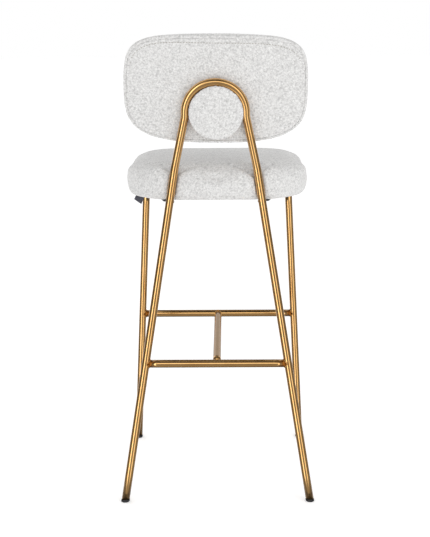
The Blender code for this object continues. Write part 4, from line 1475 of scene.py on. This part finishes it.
def closed_sheet(name, face, other_face):
    """Two grids of the same size joined round their rims into one closed piece."""
    rows, columns = face.shape[:2]
    size = rows * columns
    points = np.concatenate([face.reshape(-1, 3), other_face.reshape(-1, 3)])
    quads = grid_faces(rows, columns, False, False)
    index = np.arange(size).reshape(rows, columns)
    edge = np.concatenate([index[0, :-1], index[:-1, -1], index[-1, :0:-1], index[:0:-1, 0]])
    step = np.roll(edge, -1)
    wall = np.stack([edge, edge + size, step + size, step], -1)
    return mesh_from_arrays(name, points, np.concatenate([quads, quads[:, ::-1] + size, wall]))


def build_rear_panel():
    """A closed sheet between the panel's face and a plain face inside the cushion, with nubs on the first."""
    x, y, inset = panel_grid()
    face = leaned(x, BACK_CENTRE_RISE + y, panel_outward(inset))
    behind = leaned(x, BACK_CENTRE_RISE + y, np.full_like(x, PANEL_DEPTH))
    panel = outward(closed_sheet("back_panel", face, behind))
    turn_back(panel)
    rim = ramp(inset.ravel() - 0.001, 0.003)
    raise_nubs(panel, share=np.concatenate([rim, np.zeros(rim.size)]), height=NUB_HEIGHT * 0.9)
    finish_piece(panel, BOUCLE, "boucle", "back_rear_panel")
    return panel


panel = build_rear_panel()

# %% [markdown]
# ## Stitches
#
# The stitches beside the seam are short lengths of thick thread, each pulled into the cloth at its ends. One
# small spindle shape is copied to every place along the line at once, by turning it into the local
# directions of the line: along it, across it on the panel, and out of the panel.


# %% A row of stitches
def spindle(rings, sides):
    """A closed spindle of length 1 along x and radius 1: rings that follow a half ellipse."""
    t = np.linspace(0.0, math.pi, rings)[1:-1]
    angle = np.linspace(0.0, math.tau, sides, endpoint=False)
    x = np.repeat(-0.5 * np.cos(t), sides)
    r = np.repeat(np.sin(t) ** 0.6, sides)
    y = r * np.tile(np.cos(angle), len(t))
    z = r * np.tile(np.sin(angle), len(t))
    points = np.concatenate([np.stack([x, y, z], -1), [[-0.5, 0, 0], [0.5, 0, 0]]])
    body = grid_faces(len(t), sides, False, True)
    k = np.arange(sides)
    last = (len(t) - 1) * sides
    ends = [(int(b), int(a), len(points) - 2) for a, b in zip(k, (k + 1) % sides)]
    ends += [(last + int(a), last + int(b), len(points) - 1) for a, b in zip(k, (k + 1) % sides)]
    triangles = np.concatenate([body[:, [0, 1, 2]], body[:, [0, 2, 3]], np.array(ends)])
    return points, triangles


def stitch_row(name, line, normal, length, pitch, radius, lift):
    """Spindles every pitch along a closed line, lying on the surface whose outward direction is normal."""
    loop = np.concatenate([line, line[:1]])
    travelled = distance_along(loop)
    count = int(travelled[-1] / pitch)
    at = (np.arange(count) + 0.5) * travelled[-1] / count
    centre = places_at(loop, travelled, at)
    ahead = places_at(loop, travelled, (at + 0.001) % travelled[-1])
    along = unit(ahead - centre)
    across = np.cross(np.broadcast_to(normal, along.shape), along)
    points, triangles = spindle(7, 6)
    local = points * np.array([length, radius, radius * 0.8])
    placed = (centre + normal * lift)[:, None] + local[None, :, :1] * along[:, None]
    placed = placed + local[None, :, 1:2] * across[:, None] + local[None, :, 2:] * normal
    faces = triangles[None] + (np.arange(count) * len(points))[:, None, None]
    made = mesh_from_arrays(name, placed.reshape(-1, 3), faces.reshape(-1, 3))
    print(name, "has", count, "pieces of thread or wire")
    return made


def thread_material():
    """Waxed thread: two shades in slanting bands, which also stand up as the twist of its strands."""
    material, tree, shader = principled("sewing_thread", (0.40, 0.37, 0.32), 0.7, specular=0.3)
    place = object_place(tree)
    twist = node(tree, "ShaderNodeTexWave", bands_direction="DIAGONAL")
    twist.inputs["Scale"].default_value = 700.0
    tree.links.new(place, twist.inputs["Vector"])
    shade = mix_colour(tree, twist.outputs["Fac"], (0.25, 0.23, 0.19), (0.46, 0.43, 0.38))
    tree.links.new(shade, shader.inputs["Base Color"])
    bump(tree, twist.outputs["Fac"], shader, 0.4, 0.0002)
    return material


THREAD = thread_material()
STITCH_SAG = 0.0034             # along the top the row strays down from the seam
STITCH_SINK = 0.0011            # down the sides the thread lies deeper


def stitch_line():
    """The row's line on the rear panel: the outline at STITCH_INSET, lowered by the sag along the top."""
    flat = back_outline(STITCH_INSET, 900)
    at_top = ramp(flat[:, 1] - 0.05, 0.06)
    flat[:, 1] -= STITCH_SAG * at_top * ramp(0.14 - flat[:, 0], 0.12)
    depth = panel_outward(ring_inset(flat[:, 0], flat[:, 1]) - BACK_SEAM_INSET)
    depth += STITCH_SINK * (1.0 - at_top)
    return leaned(flat[:, 0], BACK_CENTRE_RISE + flat[:, 1], depth)


stitches = stitch_row("back_stitches", stitch_line(), -LEAN_FORWARD,
                      length=0.0044, pitch=0.0066, radius=0.00065, lift=0.0004)
turn_back(stitches)
finish_piece(stitches, THREAD, "boucle")

# %% [markdown]
# ## The round pad in the arch
#
# The arch of the hoop is filled by a round upholstered pad that hides the steel plate behind it. It is a
# turned form: a domed face, a full soft rim that swells slightly over the tube, and a straight skirt.

# %% Round pad
PAD_TO_TUBE = 0.0008
PAD_RADIUS = ARCH_RADIUS - TUBE_RADIUS - PAD_TO_TUBE
PAD_HEIGHT = 0.0250
PAD_FOOT = 0.0042               # the skirt starts this far above the backrest
PAD_ASIDE = -0.0014             # it was pushed in a little off its middle
PAD_RIM = 0.0105
PAD_SWELL = 0.0037              # how far the rim reaches past the skirt's radius
PAD_RINGS = 44
PAD_SIDES = 160
PAD_QUAD = 0.0028


def pad_profile():
    """(radius, height above the backrest) from the skirt's foot, out over the tube, to the middle of the
    dome. The rim swells past the tube's inner edge, because there is room above the tube's middle."""
    angle = np.linspace(0.0, math.pi / 2, 12)
    skirt = np.array([
        (PAD_RADIUS - 0.0030, PAD_FOOT), (PAD_RADIUS - 0.0022, 0.0080), (PAD_RADIUS - 0.0012, 0.0120),
        (PAD_RADIUS + PAD_SWELL * 0.6, 0.0160),
    ])
    over_x = PAD_RADIUS + PAD_SWELL - PAD_RIM + PAD_RIM * np.cos(angle)
    over_h = 0.0188 + (PAD_HEIGHT - 0.0205) * np.sin(angle)
    share = np.linspace(1.0, 0.0, 18)[1:]
    dome_h = over_h[-1] + 0.0022 * (1 - share ** 2)
    over = np.stack([over_x, over_h], -1)
    dome = np.stack([over_x[-1] * share, dome_h], -1)
    return np.concatenate([skirt, over, dome])


def build_pad():
    """The profile turned round the arch's centre, remeshed, blown up a little and given its nubs."""
    profile = pad_profile()
    travelled = distance_along(profile)
    at = np.linspace(0.0, travelled[-1], PAD_RINGS)
    radius = np.maximum(np.interp(at, travelled, profile[:, 0]), POLE_RADIUS)
    height = np.interp(at, travelled, profile[:, 1])
    radius = np.concatenate([[POLE_RADIUS], radius])
    height = np.concatenate([[PAD_FOOT], height])
    angle = np.linspace(0.0, math.tau, PAD_SIDES, endpoint=False)
    x = radius[:, None] * np.cos(angle)
    rise = ARCH_CENTRE_RISE + radius[:, None] * np.sin(angle)
    points = leaned(x + PAD_ASIDE, rise, -np.broadcast_to(height[:, None], x.shape))
    faces = grid_faces(len(radius), PAD_SIDES, False, True)
    pad = mesh_from_arrays("arch_pad", points.reshape(-1, 3), faces)
    close_ends(pad)
    remesh_even(pad, PAD_QUAD)
    local = leaned_coordinates(mesh_points(pad))
    held = np.where(-local[:, 2] < 0.006, 1.0, 0.0)
    inflate(pad, pressure=2.0, frames=12, cap=0.0015, held=held)
    smooth_mesh(pad, 2)
    raise_nubs(pad, height=NUB_HEIGHT * 1.15)
    finish_piece(pad, BOUCLE, "boucle", "boss_cover", "boss_foam")
    return pad


pad = build_pad()

# %% [markdown]
# ## The fabric tag
#
# A short blank tag is sewn under the seat's lower edge. It is a strip of woven tape that hangs aslant and
# is slightly curled, with a weave of fine ribs.

# %% Tag
def tape_material():
    """Woven tape: level ribs in two shades of grey, slightly wavy, that stand up a little."""
    material, tree, shader = principled("woven_tape", (0.075, 0.075, 0.095), 0.8, specular=0.25)
    place = object_place(tree)
    ribs = node(tree, "ShaderNodeTexWave", bands_direction="Z")
    ribs.inputs["Scale"].default_value = 420.0
    ribs.inputs["Distortion"].default_value = 1.5
    tree.links.new(place, ribs.inputs["Vector"])
    shade = mix_colour(tree, ribs.outputs["Fac"], (0.045, 0.045, 0.060), (0.125, 0.125, 0.150))
    tree.links.new(shade, shader.inputs["Base Color"])
    bump(tree, ribs.outputs["Fac"], shader, 0.5, 0.0002)
    return material


WOVEN_TAPE = tape_material()
TAG_THICKNESS = 0.0009
TAG_ASIDE = Vector((0.0028, 0.0, 0.0004))


def build_tag():
    """A bilinear patch between the tag's four corners, bowed a little, given thickness on both sides."""
    low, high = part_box("label_tag")
    y = (low.y + high.y) / 2
    width, drop = high.x - low.x, high.z - low.z
    low, high = low + TAG_ASIDE, high + TAG_ASIDE
    corner = [
        np.array([low.x + width * 0.824, y, high.z]), np.array([low.x, y, high.z]),
        np.array([low.x + width * 0.379, y, low.z]), np.array([high.x, y, low.z + drop * 0.549]),
    ]
    u, v = np.meshgrid(np.linspace(0, 1, 17), np.linspace(0, 1, 15), indexing="xy")
    u, v = u[..., None], v[..., None]
    patch = (1 - v) * ((1 - u) * corner[0] + u * corner[1]) + v * ((1 - u) * corner[3] + u * corner[2])
    bow = 0.0012 * np.sin(math.pi * u) * v + 0.0010 * v ** 2
    patch = patch + bow * np.array([0.0, 1.0, 0.0])
    half = np.array([0.0, TAG_THICKNESS / 2, 0.0])
    front, rear = patch + half, patch - half
    tag = closed_sheet("seat_tag", front, rear)
    return finish_piece(tag, WOVEN_TAPE, "label_tape", "label_tag")


build_tag()
print("the tag is", TAG_THICKNESS * 1000, "mm thick")

# %% [markdown]
# ## The underside and the hidden parts
#
# The frame's flat bars, plates, screws and nuts already have their true shape, so they stay as they are and
# only get a finish. Their finishes are built as a bench would see them: raw plywood with its plies on edge,
# zinc plated steel, black non-woven dust cloth, moulded nylon.


# %% Finishes for parts that keep their shape
def plywood_material():
    """Birch plies: wavy bands of two browns along the board, with a slight bump."""
    material, tree, shader = principled("raw_plywood", (0.60, 0.43, 0.26), 0.7)
    place = object_place(tree)
    rings = node(tree, "ShaderNodeTexWave", bands_direction="Y", wave_type="BANDS")
    rings.inputs["Scale"].default_value = 14.0
    rings.inputs["Distortion"].default_value = 6.0
    rings.inputs["Detail"].default_value = 3.0
    tree.links.new(scaled_vector(tree, place, (1.0, 0.25, 6.0)), rings.inputs["Vector"])
    tree.links.new(mix_colour(tree, rings.outputs["Fac"], (0.50, 0.34, 0.19), (0.70, 0.52, 0.33)),
                   shader.inputs["Base Color"])
    bump(tree, rings.outputs["Fac"], shader, 0.2, 0.0002)
    return material


def dust_cloth_material():
    """Non-woven black cloth: small round dimples from a cell pattern."""
    material, tree, shader = principled("dust_cloth", (0.025, 0.025, 0.027), 0.9, specular=0.2)
    place = object_place(tree)
    dimple = node(tree, "ShaderNodeTexVoronoi", feature="F1")
    dimple.inputs["Scale"].default_value = 520.0
    tree.links.new(place, dimple.inputs["Vector"])
    tree.links.new(mix_colour(tree, dimple.outputs["Distance"], (0.016, 0.016, 0.018), (0.050, 0.050, 0.054)),
                   shader.inputs["Base Color"])
    bump(tree, dimple.outputs["Distance"], shader, 0.5, 0.0003)
    return material


def zinc_material():
    """Zinc plating: a cloudy noise changes its grey and its roughness a little."""
    material, tree, shader = principled("zinc_plated_steel", (0.56, 0.56, 0.58), 0.35, metallic=1.0)
    place = object_place(tree)
    spangle = noise_at(tree, place, 260.0, 3.0)
    shade = mix_colour(tree, spangle, (0.46, 0.46, 0.49), (0.66, 0.66, 0.66))
    tree.links.new(shade, shader.inputs["Base Color"])
    tree.links.new(remap(tree, spangle, 0.3, 0.7, 0.28, 0.46), shader.inputs["Roughness"])
    return material


PLYWOOD = plywood_material()
DUST_CLOTH = dust_cloth_material()
ZINC = zinc_material()
FINISH_OF_SLOT = {
    "gold_steel": GOLD_FLAT, "plywood": PLYWOOD, "dust_cloth": DUST_CLOTH, "zinc_steel": ZINC,
    "black_plastic": BLACK_PLASTIC, "foam": BOUCLE, "boucle": BOUCLE, "label_tape": WOVEN_TAPE,
}

# The seat rails are made black as painted shade, because they lie in shadow under the seat; the rest of the
# bare steel is plated.
RAIL_SHADE_BLACK = grained_black("black_powder_coat", (0.022, 0.022, 0.024), 700.0, smooth=0.40, rough=0.55)
slot_of = {entry["node"]: entry["material_slot"] for entry in frame["record"]["subparts"]}
for name, part in NODES.items():
    part.data.materials.clear()
    # Painted shade: the seat rails get black in place of the plating, where they sit in shadow under the seat.
    finish = RAIL_SHADE_BLACK if name.startswith("seat_rail") else FINISH_OF_SLOT[slot_of[name]]
    part.data.materials.append(finish)
print(len(NODES), "frame nodes have a finish")

# %% [markdown]
# ## Staples
#
# The dust cloth's edge is held by wire staples driven into the board. At this size a staple is a short rounded
# bar, so the helper that lays stitches along a line lays them too.

# %% Staples round the dust cloth
STAPLE_INSET = 0.0500
STAPLE_REACH = 0.0001           # how far the line of staples lies under the cloth


def build_staples():
    """Short rounded bars at an even pitch along an outline STAPLE_INSET in from the seat's."""
    count = 600
    half_x, half_y = SEAT_HALF_X - STAPLE_INSET, SEAT_HALF_Y - STAPLE_INSET
    flat = rounded_outline(half_x, half_y, SEAT_REAR_POWER, SEAT_FRONT_POWER, count)
    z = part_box("seat_dust_cover")[0].z - STAPLE_REACH
    line = np.stack([flat[:, 0], flat[:, 1] + SEAT_MIDDLE_Y, np.full(count, z)], -1)
    staples = stitch_row("dust_cloth_staples", line, np.array([0.0, 0.0, -1.0]),
                         length=0.0095, pitch=0.0330, radius=0.00045, lift=0.0002)
    return finish_piece(staples, ZINC, "zinc_steel")


build_staples()
